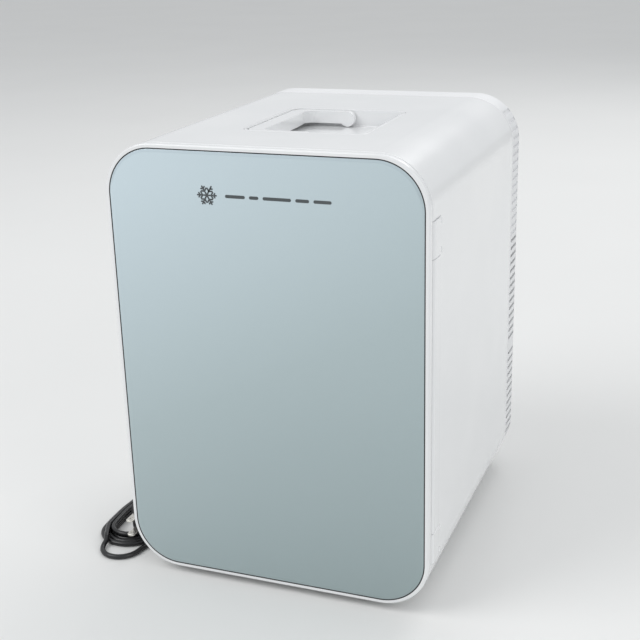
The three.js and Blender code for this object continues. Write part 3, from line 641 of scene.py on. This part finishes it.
barrelHigh = hingeSetup["high"] - hingeSetup["upperHeight"] - hingeSetup["gap"]


def hingeRoom(radius, spare, steps=56):
    low, high = hingeSetup["low"] - spare, hingeSetup["high"] + spare
    tool = keepMesh("room", rod(hinge, radius, low, high, "Z", steps=steps))
    combine(tool, [plainBox((hinge.x - radius, doorLow.y, low), (halfWidth + 1 * mm, hinge.y, high))], "UNION")
    bm = bmesh.new()
    bm.from_mesh(tool.data)
    mesh = tool.data
    bpy.data.objects.remove(tool)
    bpy.data.meshes.remove(mesh)
    return bm


def makeCasing(setup):
    bm = casingBlock(0, shellLow.y, shellHigh.y, rim=(setup["frontRim"], setup["rearRim"]), steps=28)
    piece = keepMesh("casing", bm, "glossWhite")
    combine(piece, [casingBlock(setup["wall"], shellLow.y - 1 * mm, shellHigh.y + 1 * mm, steps=28)])
    combine(piece, [block(setup["recessCentre"], setup["recessHalf"], setup["recessCorner"],
                          shellHigh.z - 10 * mm, shellHigh.z + 10 * mm, "Z", steps=12)])
    combine(piece, [hingeRoom(hingeSetup["channel"], hingeSetup["gap"])])
    finishEdges(piece, 0.35 * mm)
    return settle(piece, "cabinet", ["outer_shell"])


# the hinge's outer skin stands a little proud of the casing's side, with soft edges
def hingeSkin(low, high):
    forward, rearward = hingeSetup["skinReach"]
    inner, outer = hinge.x - 3 * mm, halfWidth + hingeSetup["proud"]
    front, back = hinge.y - forward, hinge.y + rearward
    return block(((inner + outer) / 2, (front + back) / 2), ((outer - inner) / 2, (back - front) / 2),
                 hingeSetup["skinCorner"], low, high, "Z", rim=(0.5 * mm, 0.5 * mm), steps=8)


def makeKnuckle(name, node, low, high):
    piece = keepMesh(name, rod(hinge, hingeSetup["barrel"], low, high, "Z", steps=56), "glossWhite")
    combine(piece, [plainBox((0, hinge.y, low - 1 * mm), (0.2, 0, high + 1 * mm))], "INTERSECT")
    combine(piece, [rod(hinge, hingeSetup["frontRound"], low, high, "Z", steps=56)], "UNION")
    combine(piece, [casingBlock(0, doorLow.y, 0, steps=28)], "INTERSECT")
    combine(piece, [hingeSkin(low, high)], "UNION")
    nubRadius, nubHalf = hingeSetup["nub"]
    at = (halfWidth + 0.1 * mm, hinge.y + hingeSetup["skinReach"][1] + 0.4 * mm)
    for z in (low + nubHalf + 1.2 * mm, high - nubHalf - 1.2 * mm):
        combine(piece, [rod(at, nubRadius, z - nubHalf, z + nubHalf, "Z", rim=(0.3 * mm, 0.3 * mm), steps=24)], "UNION")
    combine(piece, [rod(hinge, hingeSetup["bore"], low - 1 * mm, high + 1 * mm, "Z", steps=24)])
    finishEdges(piece, 0.3 * mm, 2)
    return settle(piece, "cabinet", [node])


makeCasing(casing)
makeKnuckle("hinge_block_upper", "hinge_knuckle_upper", barrelHigh + hingeSetup["gap"], hingeSetup["high"])
makeKnuckle("hinge_block_lower", "hinge_knuckle_lower", hingeSetup["low"], barrelLow - hingeSetup["gap"])
print("casing and hinge made")


# door: white frame, glass front, seal, inner panel and bin
doorSetup = {
    "lipSetback": 0.4 * mm,
    "flangeBack": -136 * mm,
    "lipRim": 1.5 * mm,
    "backRim": 0.8 * mm,
    "seatInset": 3.0 * mm,
    "seatBack": -139.1 * mm,
    "ring": (3.05 * mm, 3.75 * mm),
    "paneInset": 3.8 * mm,
    "paneBack": -139.4 * mm,
    "paneBevel": (1.9 * mm, 0.45 * mm),
    "rimHalf": (92.5 * mm, 138 * mm),
    "rimCorner": 14 * mm,
    "rimWall": 2 * mm,
    "rimBack": -112 * mm,
}


def makeDoorShell(setup):
    lipFront = doorLow.y
    flangeBack, rimBack = setup["flangeBack"], setup["rimBack"]
    piece = keepMesh("door_shell", casingBlock(0, lipFront, flangeBack, rim=(setup["lipRim"], setup["backRim"]),
                                               steps=28, rimSteps=5), "glossWhite")
    halfX, halfZ = setup["rimHalf"]
    wall = setup["rimWall"]
    combine(piece, [block((0, midZ), setup["rimHalf"], setup["rimCorner"], flangeBack - 1 * mm, rimBack,
                          rim=(0, 1.2 * mm), steps=12)], "UNION")
    combine(piece, [block((0, midZ), (halfX - wall, halfZ - wall), setup["rimCorner"] - wall, flangeBack,
                          rimBack + 5 * mm, steps=12)])
    combine(piece, [casingBlock(setup["seatInset"], lipFront - 5 * mm, setup["seatBack"], steps=28)])
    barrel = keepMesh("barrel", rod(hinge, hingeSetup["barrel"], barrelLow, barrelHigh, "Z", steps=56))
    combine(barrel, [plainBox((hinge.x - hingeSetup["barrelHalf"], flangeBack - 1 * mm, 0),
                              (halfWidth, 0, 0.4))], "INTERSECT")
    strip = bmesh.new()
    strip.from_mesh(barrel.data)
    combine(piece, [strip], "UNION")
    bpy.data.objects.remove(barrel)
    combine(piece, [hingeSkin(barrelLow, barrelHigh)], "UNION")
    width, depth = hingeSetup["groove"]
    combine(piece, [plainBox((halfWidth - depth, flangeBack, barrelLow - 1 * mm),
                             (halfWidth + 2 * mm, flangeBack + width, barrelHigh + 1 * mm))])
    bores = [rod(hinge, hingeSetup["bore"], barrelHigh - 10 * mm, barrelHigh + 1 * mm, "Z", steps=24),
             rod(hinge, hingeSetup["bore"], barrelLow - 1 * mm, barrelLow + 10 * mm, "Z", steps=24)]
    combine(piece, bores)
    magnetLow, magnetHigh = corners("door_magnet")
    spare = Vector((0.3, 0, 0.3)) * mm
    combine(piece, [plainBox(magnetLow - spare, magnetHigh + spare)])
    finishEdges(piece, 0.3 * mm)
    return settle(piece, "door", ["door_frame"])


def makePane(setup):
    width, depth = setup["paneBevel"]
    front = corners("door_glass")[0].y
    bm = casingBlock(setup["paneInset"], front + depth, setup["paneBack"], rim=(0, 0.25 * mm), steps=28, rimSteps=2)
    face = min(bm.faces, key=lambda f: f.calc_center_median().y)
    bmesh.ops.inset_region(bm, faces=[face], thickness=width, depth=depth, use_even_offset=True)
    crest = [e for e in bm.edges if all(abs(v.co.y - front) < 1e-6 for v in e.verts)]
    bmesh.ops.bevel(bm, geom=crest, offset=0.35 * mm, affect="EDGES", segments=3, profile=0.5, material=-1)
    edge = [e for e in bm.edges if all(abs(v.co.y - front - depth) < 1e-6 for v in e.verts)]
    bmesh.ops.bevel(bm, geom=edge, offset=0.2 * mm, affect="EDGES", segments=2, profile=0.5, material=-1)
    piece = keepMesh("front_pane", bm, "pane")
    shade(piece, 35)
    smoothNormals(piece)
    return settle(piece, "door", ["door_glass"])


# dark bedding ring that fills the joint between the glass and the lip
def makeBedding(setup):
    outer, inner = setup["ring"]
    front = corners("door_glass")[0].y + 0.35 * mm
    piece = keepMesh("pane_bedding", casingBlock(outer, front, setup["seatBack"], steps=28), "blackMoulded")
    combine(piece, [casingBlock(inner, front - 1 * mm, setup["seatBack"] + 1 * mm, steps=28)])
    finishEdges(piece, 0)
    return settle(piece, "door")


# a plain snow crystal and a row of rounded bars, printed on the glass
badge = {
    "centre": (1.2 * mm, 309.5 * mm),
    "crystalAt": -41 * mm,
    "crystalRadius": 7.2 * mm,
    "stroke": 0.55 * mm,
    "thickness": 0.08 * mm,
    "barStart": -27 * mm,
    "barHeight": 1.15 * mm,
    "bars": (15, 7, 21, 10, 13),
    "barGap": 3.2 * mm,
}


def makeBadge(setup):
    front = corners("door_glass")[0].y
    low, high = front - setup["thickness"], front + 0.03 * mm
    centreX, centreZ = setup["centre"]
    hub = Vector((centreX + setup["crystalAt"], 0, centreZ))
    radius, stroke = setup["crystalRadius"], setup["stroke"]
    parts = []

    def stripe(start, end, angle):
        bm = block(((start + end) / 2, 0), ((end - start) / 2 + stroke, stroke), stroke * 0.95, low, high, steps=5)
        turn = Matrix.Rotation(angle, 4, "Y")
        bmesh.ops.transform(bm, matrix=turn, verts=bm.verts[:])
        return bm

    for i in range(6):
        angle = i * math.pi / 3
        arm = stripe(0, radius, angle)
        bmesh.ops.translate(arm, verts=arm.verts[:], vec=hub)
        parts.append(arm)
        for share, length in ((0.45, 0.34), (0.72, 0.24)):
            fork = Vector((math.cos(angle), 0, -math.sin(angle))) * radius * share
            for hand in (-1, 1):
                twig = stripe(0, radius * length, angle + hand * math.radians(58))
                bmesh.ops.translate(twig, verts=twig.verts[:], vec=hub + fork)
                parts.append(twig)
    x = centreX + setup["barStart"]
    for length in setup["bars"]:
        end = x + length * mm
        parts.append(block(((x + end) / 2, centreZ), ((end - x) / 2, setup["barHeight"]),
                           setup["barHeight"] * 0.98, low, high, steps=8))
        x = end + setup["barGap"]
    piece = keepMesh("front_print", parts[0], "printGrey")
    for part in parts[1:]:
        combine(piece, [part], "UNION")
    finishEdges(piece, 0)
    return settle(piece, "door")


sealSetup = {
    "outer": (100 * mm, 145.5 * mm, 20 * mm),
    "hole": (92.8 * mm, 138.3 * mm, 14.3 * mm),
    "groove": (0.9 * mm, 0.8 * mm),
}


def makeSeal(setup):
    low, high = corners("door_gasket")
    outerX, outerZ, outerCorner = setup["outer"]
    holeX, holeZ, holeCorner = setup["hole"]
    piece = keepMesh("door_seal", block((0, midZ), (outerX, outerZ), outerCorner, low.y, high.y,
                                        rim=(0, 1.4 * mm), steps=14), "sealGrey")
    combine(piece, [block((0, midZ), (holeX, holeZ), holeCorner, low.y - 1 * mm, high.y + 1 * mm, steps=14)])
    width, depth = setup["groove"]
    middle = 0.45 * (outerX - holeX)
    groove = keepMesh("groove", block((0, midZ), (holeX + middle + width, holeZ + middle + width),
                                      holeCorner + middle + width, high.y - depth, high.y + 1 * mm, steps=14))
    combine(groove, [block((0, midZ), (holeX + middle - width, holeZ + middle - width),
                           holeCorner + middle - width, high.y - 2 * depth, high.y + 2 * mm, steps=14)])
    tool = bmesh.new()
    tool.from_mesh(groove.data)
    combine(piece, [tool])
    bpy.data.objects.remove(groove)
    finishEdges(piece, 0.25 * mm)
    return settle(piece, "door", ["door_gasket"])


linerSetup = {
    "field": 16 * mm,
    "fieldDepth": 0.9 * mm,
    "ribs": 5,
    "ribHalf": 1.6 * mm,
}


def makeDoorLiner(setup):
    low, high = corners("door_liner")
    half = (high.x, (high.z - low.z) / 2)
    corner = doorSetup["rimCorner"] - doorSetup["rimWall"] - 0.3 * mm
    piece = keepMesh("door_inner_panel", block((0, midZ), half, corner, low.y, high.y, rim=(0, 0.5 * mm), steps=12),
                     "satinWhite")
    edge = setup["field"]
    depth = setup["fieldDepth"]
    fields = []
    lowers = [(midZ - half[1] + edge / 2, 46 * mm), (104 * mm, midZ + half[1] - edge)]
    for bottom, top in lowers:
        if top - bottom < 20 * mm:
            continue
        columns = setup["ribs"]
        pitch = 2 * (half[0] - edge) / columns
        for i in range(columns):
            x = -half[0] + edge + (i + 0.5) * pitch
            fields.append(block((x, (bottom + top) / 2), (pitch / 2 - setup["ribHalf"], (top - bottom) / 2),
                                5 * mm, high.y - depth, high.y + 1 * mm, steps=6))
    combine(piece, fields)
    finishEdges(piece, 0.3 * mm)
    return settle(piece, "door", ["door_liner"])


binSetup = {
    "corner": 7 * mm,
    "wall": 2 * mm,
    "window": (60 * mm, 64 * mm, 88 * mm, 5 * mm),
}


def makeBin(setup):
    low, high = corners("door_bin")
    wall, corner = setup["wall"], setup["corner"]
    centre = ((low.x + high.x) / 2, (low.y + high.y) / 2)
    half = ((high.x - low.x) / 2, (high.y - low.y) / 2)
    piece = keepMesh("door_tray", block(centre, half, corner, low.z, high.z, "Z", rim=(1.2 * mm, 0), steps=8),
                     "satinWhite")
    combine(piece, [block(centre, (half[0] - wall, half[1] - wall), corner - wall, low.z + wall, high.z + 5 * mm,
                          "Z", rim=(1 * mm, 0), steps=8)])
    halfX, bottom, top, round = setup["window"]
    combine(piece, [block((0, (bottom + top) / 2), (halfX, (top - bottom) / 2), round, high.y - 4 * mm,
                          high.y + 4 * mm, steps=8)])
    finishEdges(piece, 0.45 * mm, 3)
    return settle(piece, "door", ["door_bin"])


makeDoorShell(doorSetup)
makePane(doorSetup)
makeBedding(doorSetup)
makeBadge(badge)
makeSeal(sealSetup)
makeDoorLiner(linerSetup)
makeBin(binSetup)
print("door made")


# cold compartment: mouth frame, tub and shelf
mouthSetup = {
    "half": (94.5 * mm, 140 * mm),
    "corner": 16 * mm,
    "wall": 1.8 * mm,
    "frameInset": 2.8 * mm,
    "channelWall": 2 * mm,
    "lipRound": 1.1 * mm,
    "ledgeZ": (147 * mm, 222 * mm),
    "ledgeY": (-70 * mm, 14 * mm),
    "ledge": (5 * mm, 2.5 * mm),
    "window": 23 * mm,
    "coolZ": 190 * mm,
}


def mouthBlock(grow, low, high, rim=(0, 0), steps=14):
    halfX, halfZ = mouthSetup["half"]
    return block((0, midZ), (halfX + grow, halfZ + grow), mouthSetup["corner"] + grow, low, high, "Y", rim, steps)


def makeMouthFrame(setup):
    low, high = corners("front_frame")
    seatLow, seatHigh = corners("strike_plate")
    back = low.y + 3 * mm
    piece = keepMesh("mouth_frame", casingBlock(setup["frameInset"], low.y, back, steps=28), "satinWhite")
    channel = keepMesh("channel", rod(hinge, hingeSetup["channel"] + setup["channelWall"],
                                      hingeSetup["low"] - 2 * mm, hingeSetup["high"] + 2 * mm, "Z", steps=56))
    combine(channel, [casingBlock(setup["frameInset"], low.y, 0, steps=28)], "INTERSECT")
    tool = bmesh.new()
    tool.from_mesh(channel.data)
    combine(piece, [tool], "UNION")
    bpy.data.objects.remove(channel)
    combine(piece, [mouthBlock(0, low.y - 1 * mm, back + 1 * mm)])
    combine(piece, [hingeRoom(hingeSetup["channel"], hingeSetup["gap"])])
    spare = Vector((0.3, 1, 0.3)) * mm
    combine(piece, [plainBox(seatLow - spare, seatHigh + Vector((0.3, 0.3, 0.3)) * mm)])
    finishEdges(piece, 0.5 * mm, 3)
    return settle(piece, "cabinet", ["front_frame"])


def makeTub(setup):
    low, high = corners("inner_liner")
    wall = setup["wall"]
    piece = keepMesh("cold_tub", mouthBlock(wall, low.y, high.y, rim=(0, 3 * mm)), "satinWhite")
    combine(piece, [mouthBlock(0, low.y - 1 * mm, high.y - wall, rim=(0, 2 * mm))])
    halfX = setup["half"][0]
    front, rear = setup["ledgeY"]
    reach, tall = setup["ledge"]
    for z in setup["ledgeZ"]:
        for hand in (-1, 1):
            centre = (hand * (halfX - reach / 2 + 0.4 * mm), (front + rear) / 2)
            ledge = block(centre, (reach / 2 + 0.4 * mm, (rear - front) / 2), 1.8 * mm, z - tall, z, "Z",
                          rim=(0.8 * mm, 0.5 * mm), steps=6, rimSteps=3)
            combine(piece, [ledge], "UNION")
    half = setup["window"]
    combine(piece, [plainBox((-half, high.y - 10 * mm, setup["coolZ"] - half),
                             (half, high.y + 10 * mm, setup["coolZ"] + half))])
    finishEdges(piece, 0.4 * mm)
    return settle(piece, "cabinet", ["inner_liner"])


shelfSetup = {
    "corner": 6 * mm,
    "slots": 13,
    "pitch": 13 * mm,
    "slotHalf": (4 * mm, 32 * mm),
}


def makeShelf(setup):
    low, high = corners("shelf")
    centre = ((low.x + high.x) / 2, (low.y + high.y) / 2)
    half = ((high.x - low.x) / 2, (high.y - low.y) / 2)
    piece = keepMesh("slotted_shelf", block(centre, half, setup["corner"], low.z, high.z, "Z",
                                              rim=(0.8 * mm, 0.8 * mm), steps=8), "satinWhite")
    slots = []
    for i in range(setup["slots"]):
        x = (i - (setup["slots"] - 1) / 2) * setup["pitch"]
        slots.append(block((x, centre[1]), setup["slotHalf"], setup["slotHalf"][0] * 0.96, low.z - 1 * mm,
                           high.z + 1 * mm, "Z", steps=8))
    combine(piece, slots)
    finishEdges(piece, 0.4 * mm)
    return settle(piece, "cabinet", ["shelf"])


makeMouthFrame(mouthSetup)
makeTub(mouthSetup)
makeShelf(shelfSetup)
print("cold compartment made")


# carry handle and its recess
handleSetup = {
    "recessHalf": (48.5 * mm, 53.25 * mm),
    "recessCorner": 9 * mm,
    "wall": 1.8 * mm,
    "depth": 13 * mm,
    "centre": (6.5 * mm, -24.25 * mm),
    "lip": 0.8 * mm,
    "grip": (10.9 * mm, 45.9 * mm, 50.6 * mm, 5.4 * mm),
    "corner": 9 * mm,
    "rounding": 1.9 * mm,
    "knuckle": 6 * mm,
    "bore": 1.85 * mm,
    "boreDepth": 4.25 * mm,
    "bulge": 2 * mm,
}
pivot = jointAt["handle_fold"]


def makeRecess(setup):
    top = shellHigh.z
    halfX, halfY = setup["recessHalf"]
    wall, corner, centre = setup["wall"], setup["recessCorner"], setup["centre"]
    floorZ = top - setup["depth"]
    piece = keepMesh("handle_recess", block(centre, (halfX, halfY), corner, floorZ - wall, top, "Z",
                                            rim=(2 * mm, setup["lip"]), steps=12), "glossWhite")
    combine(piece, [block(centre, (halfX - wall, halfY - wall), corner - wall, floorZ, top + 5 * mm, "Z",
                          rim=(1.2 * mm, 0), steps=12, rimSteps=5)])
    combine(piece, [rod((pivot.x, pivot.z), setup["bore"], centre[1] - 60 * mm, centre[1] + 60 * mm, steps=24)])
    finishEdges(piece, 0.4 * mm, 3)
    return settle(piece, "cabinet", ["handle_tray"])


# the grip is a bail: one bar across the left, bowed on its inner side, and two legs that run to the pivot
def makeGrip(setup):
    width, outer, halfY, leg = setup["grip"]
    centreX, centreY = setup["centre"]
    corner, reach = setup["corner"], 30 * mm
    bottom, top = 333.9 * mm, 343.4 * mm
    middle = centreX + (reach - outer) / 2
    piece = keepMesh("handle_bail", block((middle, centreY), ((outer + reach) / 2, halfY), corner, bottom, top, "Z",
                                          steps=12), "glossWhite")
    inner = outer - width
    hollow = keepMesh("hollow", block((centreX + (reach - inner) / 2 + 20 * mm, centreY),
                                      ((inner + reach) / 2 + 20 * mm, halfY - leg), corner,
                                      bottom - 5 * mm, top + 5 * mm, "Z", steps=12))
    belly = rod((0, 0), 1.0, bottom - 6 * mm, top + 6 * mm, "Z", steps=64)
    bmesh.ops.scale(belly, vec=(setup["bulge"], halfY * 0.8, 1), verts=belly.verts[:])
    bmesh.ops.translate(belly, verts=belly.verts[:], vec=(centreX - inner, centreY, 0))
    combine(hollow, [belly])
    tool = bmesh.new()
    tool.from_mesh(hollow.data)
    bpy.data.objects.remove(hollow)
    combine(piece, [tool])
    combine(piece, [plainBox((pivot.x, -0.2, 0.2), (0.2, 0.2, 0.5))])
    for start in (centreY - halfY, centreY + halfY - leg):
        combine(piece, [rod((pivot.x, pivot.z), setup["knuckle"], start, start + leg, steps=48)], "UNION")
    ends = ((centreY - 60 * mm, centreY - halfY + setup["boreDepth"]),
            (centreY + halfY - setup["boreDepth"], centreY + 60 * mm))
    for start, end in ends:
        combine(piece, [rod((pivot.x, pivot.z), setup["bore"], start, end, steps=24)])
    finishEdges(piece, setup["rounding"], 5, 38)
    return settle(piece, "handle", ["carry_handle"])


makeRecess(handleSetup)
makeGrip(handleSetup)
print("carry handle made")


# rear cover with its side vents, fan grille, sockets and screws
rearSetup = {
    "wall": 2.5 * mm,
    "rearRim": 3.2 * mm,
    "pitch": 6.9 * mm,
    "slotHalf": 1.4 * mm,
    "ventRuns": ((39.5, 12), (130.3, 14)),
    "blindRun": (226.9, 16),
    "blindDepth": 1.1 * mm,
    "ventY": (115.3 * mm, 138 * mm),
    "fan": (0, 190 * mm, 45 * mm),
    "grilleHalf": 1.7 * mm,
    "grillePitch": 7 * mm,
    "screws": ((-96 * mm, 34 * mm), (96 * mm, 34 * mm), (-96 * mm, 316 * mm), (96 * mm, 316 * mm)),
    "screwHead": 3.4 * mm,
    "socketZ": 60 * mm,
    "mains": (-70 * mm, 13 * mm, 8.5 * mm),
    "car": (-38 * mm, 7.8 * mm),
    "switch": (-6 * mm, 8 * mm, 13 * mm),
}


def makeRearCover(setup):
    low, back = panelLow.y, panelHigh.y
    wall = setup["wall"]
    piece = keepMesh("rear_cover", casingBlock(0, low, back, rim=(0.6 * mm, setup["rearRim"]), steps=28,
                                               rimSteps=6), "satinWhite")
    combine(piece, [casingBlock(wall, low - 1 * mm, back - wall, rim=(0, 2 * mm), steps=28)])
    front, rear = setup["ventY"]
    half = setup["slotHalf"]
    slots = []
    for start, count in setup["ventRuns"]:
        for i in range(count):
            z = start * mm + i * setup["pitch"]
            slots.append(block(((front + rear) / 2, z), ((rear - front) / 2, half), half * 0.9,
                               -halfWidth - 1 * mm, halfWidth + 1 * mm, "X", steps=3))
    combine(piece, slots)
    start, count = setup["blindRun"]
    bars = []
    for i in range(count):
        z = start * mm + i * setup["pitch"]
        for hand in (-1, 1):
            ends = sorted((hand * 92 * mm, hand * (halfWidth + 1 * mm)))
            bars.append(plainBox((ends[0], front, z - half), (ends[1], rear, z + half)))
    rings = keepMesh("grooves", together(bars))
    combine(rings, [casingBlock(setup["blindDepth"], front - 5 * mm, rear + 5 * mm, steps=28)])
    tool = bmesh.new()
    tool.from_mesh(rings.data)
    bpy.data.objects.remove(rings)
    combine(piece, [tool])
    fanX, fanZ, fanRadius = setup["fan"]
    grille = []
    for i in range(-6, 7):
        reach = math.sqrt(fanRadius ** 2 - (i * setup["grillePitch"]) ** 2)
        z = fanZ + i * setup["grillePitch"]
        grille.append(block((fanX, z), (reach, setup["grilleHalf"]), setup["grilleHalf"] * 0.95, back - 12 * mm,
                            back + 8 * mm, steps=4))
    combine(piece, grille)
    socketZ = setup["socketZ"]
    mainsX, mainsHalfX, mainsHalfZ = setup["mains"]
    carX, carRadius = setup["car"]
    switchX, switchHalfX, switchHalfZ = setup["switch"]
    holes = [
        block((mainsX, socketZ), (mainsHalfX, mainsHalfZ), 1 * mm, back - 12 * mm, back + 8 * mm, steps=4),
        rod((carX, socketZ), carRadius, back - 12 * mm, back + 8 * mm),
        block((switchX, socketZ), (switchHalfX, switchHalfZ), 0.8 * mm, back - 12 * mm, back + 8 * mm, steps=4),
    ]
    combine(piece, holes)
    seats = [rod(at, setup["screwHead"] + 0.3 * mm, back - 1.3 * mm, back + 5 * mm) for at in setup["screws"]]
    combine(piece, seats)
    combine(piece, [rod(at, 1.9 * mm, back - 8 * mm, back + 5 * mm, steps=20) for at in setup["screws"]])
    finishEdges(piece, 0.3 * mm)
    return settle(piece, "cabinet", ["rear_panel"])


def makeScrew(index, at, setup):
    x, z = at
    back = panelHigh.y
    piece = keepMesh("cover_screw_%d" % index, rod((x, z), setup["screwHead"], back - 1 * mm, back,
                                                  rim=(0, 0.55 * mm), steps=32, rimSteps=4), "zincSteel")
    combine(piece, [rod((x, z), 1.6 * mm, back - 22 * mm, back - 0.6 * mm, steps=20)], "UNION")
    cross = keepMesh("cross", plainBox((x - 2 * mm, back - 0.75 * mm, z - 0.42 * mm),
                                       (x + 2 * mm, back + 1 * mm, z + 0.42 * mm)))
    combine(cross, [plainBox((x - 0.42 * mm, back - 0.75 * mm, z - 2 * mm),
                             (x + 0.42 * mm, back + 1 * mm, z + 2 * mm))], "UNION")
    tool = bmesh.new()
    tool.from_mesh(cross.data)
    bpy.data.objects.remove(cross)
    combine(piece, [tool])
    finishEdges(piece, 0.08 * mm, 1)
    return settle(piece, "cabinet", ["rear_screw_%d" % index])


footSetup = {
    "top": 9 * mm,
    "bottom": 8 * mm,
    "groove": 0.5 * mm,
}


def makeFoot(where, setup):
    low, high = corners("foot_" + where)
    centre = ((low.x + high.x) / 2, (low.y + high.y) / 2)
    top, bottom, groove = setup["top"], setup["bottom"], setup["groove"]
    tall = high.z
    profile = [(0.9 * mm, 0), (0.9 * mm, 3.4 * mm), (0, 4.2 * mm), (0, bottom - 1 * mm), (0.3 * mm, bottom - 0.3 * mm),
               (1 * mm, bottom), (tall * 0.45, bottom + 0.5 * mm), (tall * 0.52, bottom + 0.5 * mm - groove),
               (tall * 0.62, bottom + 0.5 * mm - groove), (tall * 0.70, top - 0.3 * mm),
               (tall - 0.5 * mm, top), (tall, top - 0.5 * mm), (tall, 0)]
    piece = keepMesh("rubber_foot_" + where, turned(profile, centre, "Z", 40), "footRubber")
    finishEdges(piece, 0)
    return settle(piece, "cabinet", ["foot_" + where])


makeRearCover(rearSetup)
for index, at in enumerate(rearSetup["screws"], 1):
    makeScrew(index, at, rearSetup)
for where in ("front_left", "front_right", "rear_left", "rear_right"):
    makeFoot(where, footSetup)
print("rear cover and feet made")


# smaller machined and moulded parts keep their own form, merged and with broken edges
fineParts = {
    "cold_sink": ("sink_cold_side", "cabinet", "aluminium", "alloy", 0.2),
    "hot_sink": ("sink_hot_side", "cabinet", "aluminium", "alloy", 0.2),
    "cold_fan_frame": ("fan_frame_cold", "cabinet", "black_plastic", "blackMoulded", 0.3),
    "hot_fan_frame": ("fan_frame_hot", "cabinet", "black_plastic", "blackMoulded", 0.3),
    "cold_fan_rotor": ("fan_rotor_cold", "cold_rotor", "black_plastic", "blackMoulded", 0.25),
    "hot_fan_rotor": ("fan_rotor_hot", "hot_rotor", "black_plastic", "blackMoulded", 0.25),
    "inner_fan_cover": ("fan_cover", "cabinet", "white_satin", "satinWhite", 0.6),
    "rear_bulkhead": ("inner_back_plate", "cabinet", "white_satin", "satinWhite", 0.3),
    "power_board": ("supply_board", "cabinet", "board", "board", 0.25),
    "mains_inlet": ("inlet_mains", "cabinet", "black_plastic", "blackMoulded", 0.35),
    "car_inlet": ("inlet_car", "cabinet", "black_plastic", "blackMoulded", 0.4),
    "mode_switch_frame": ("switch_surround", "cabinet", "black_plastic", "blackMoulded", 0.5),
    "mode_rocker": ("switch_rocker", "rocker", "black_plastic", "blackMoulded", 0.35),
}


def refine(node, name, body, material, width):
    source = frame["nodes"][node]
    bm = bmesh.new()
    bm.from_mesh(source.data)
    bmesh.ops.transform(bm, matrix=source.matrix_world, verts=bm.verts[:])
    bmesh.ops.remove_doubles(bm, verts=bm.verts[:], dist=1e-6)
    bmesh.ops.recalc_face_normals(bm, faces=bm.faces[:])
    piece = keepMesh(name, bm, material)
    finishEdges(piece, width * mm)
    return settle(piece, body, [node])


for node, (name, body, slotName, material, width) in fineParts.items():
    refine(node, name, body, material, width)
print("small parts refined")


# parts that stay as they are, with their finishes
keptNodes = {
    "insulation": "foam", "door_foam": "foam", "strike_plate": "zincSteel", "door_magnet": "zincSteel",
    "hinge_pin_upper": "zincSteel", "hinge_pin_lower": "zincSteel", "handle_pin_front": "zincSteel",
    "handle_pin_rear": "zincSteel", "cold_block": "alloy", "peltier_module": "firedCeramic",
}
for node, material in keptNodes.items():
    for materialSlot in frame["nodes"][node].material_slots:
        materialSlot.material = finishes[material]
print("kept parts finished")


# floor and light
studio = {
    "floorColour": (0.80, 0.80, 0.79),
    "worldColour": (0.92, 0.94, 0.96),
    "worldStrength": 0.71,
    "lights": {
        "key": ((-1.6, -1.4, 2.2), (0, 0, 0.15), 2.0, 30),
        "fill": ((1.9, -1.0, 1.3), (0, 0, 0.2), 1.6, 9),
        "back": ((0.4, 1.9, 1.9), (0, 0, 0.2), 1.6, 14),
    },
}


def makeStudio(setup):
    bm = bmesh.new()
    bmesh.ops.create_grid(bm, x_segments=2, y_segments=2, size=40)
    floor = keepMesh("floor", bm)
    material, shader, place = startMaterial("paleFloor", specular=0.2)
    pale = setup["floorColour"]
    tone = addRamp(material, addNoise(material, place, 3, 2), [(0.3, [c * 0.985 for c in pale]), (0.7, pale)])
    material.node_tree.links.new(tone, shader.inputs["Base Color"])
    shader.inputs["Roughness"].default_value = 0.75
    floor.data.materials.append(material)
    world = bpy.data.worlds.new("studio")
    world.use_nodes = True
    sky = world.node_tree.nodes["Background"]
    sky.inputs["Color"].default_value = (*setup["worldColour"], 1)
    sky.inputs["Strength"].default_value = setup["worldStrength"]
    bpy.context.scene.world = world
    for name, (place, aim, size, power) in setup["lights"].items():
        lamp = bpy.data.lights.new(name, "AREA")
        lamp.shape = "DISK"
        lamp.size = size
        lamp.energy = power
        light = bpy.data.objects.new(name, lamp)
        light.location = place
        light.rotation_euler = (Vector(aim) - Vector(place)).to_track_quat("-Z", "Y").to_euler()
        bpy.context.scene.collection.objects.link(light)
    bpy.context.scene.view_settings.view_transform = "Standard"


makeStudio(studio)
print("studio set")
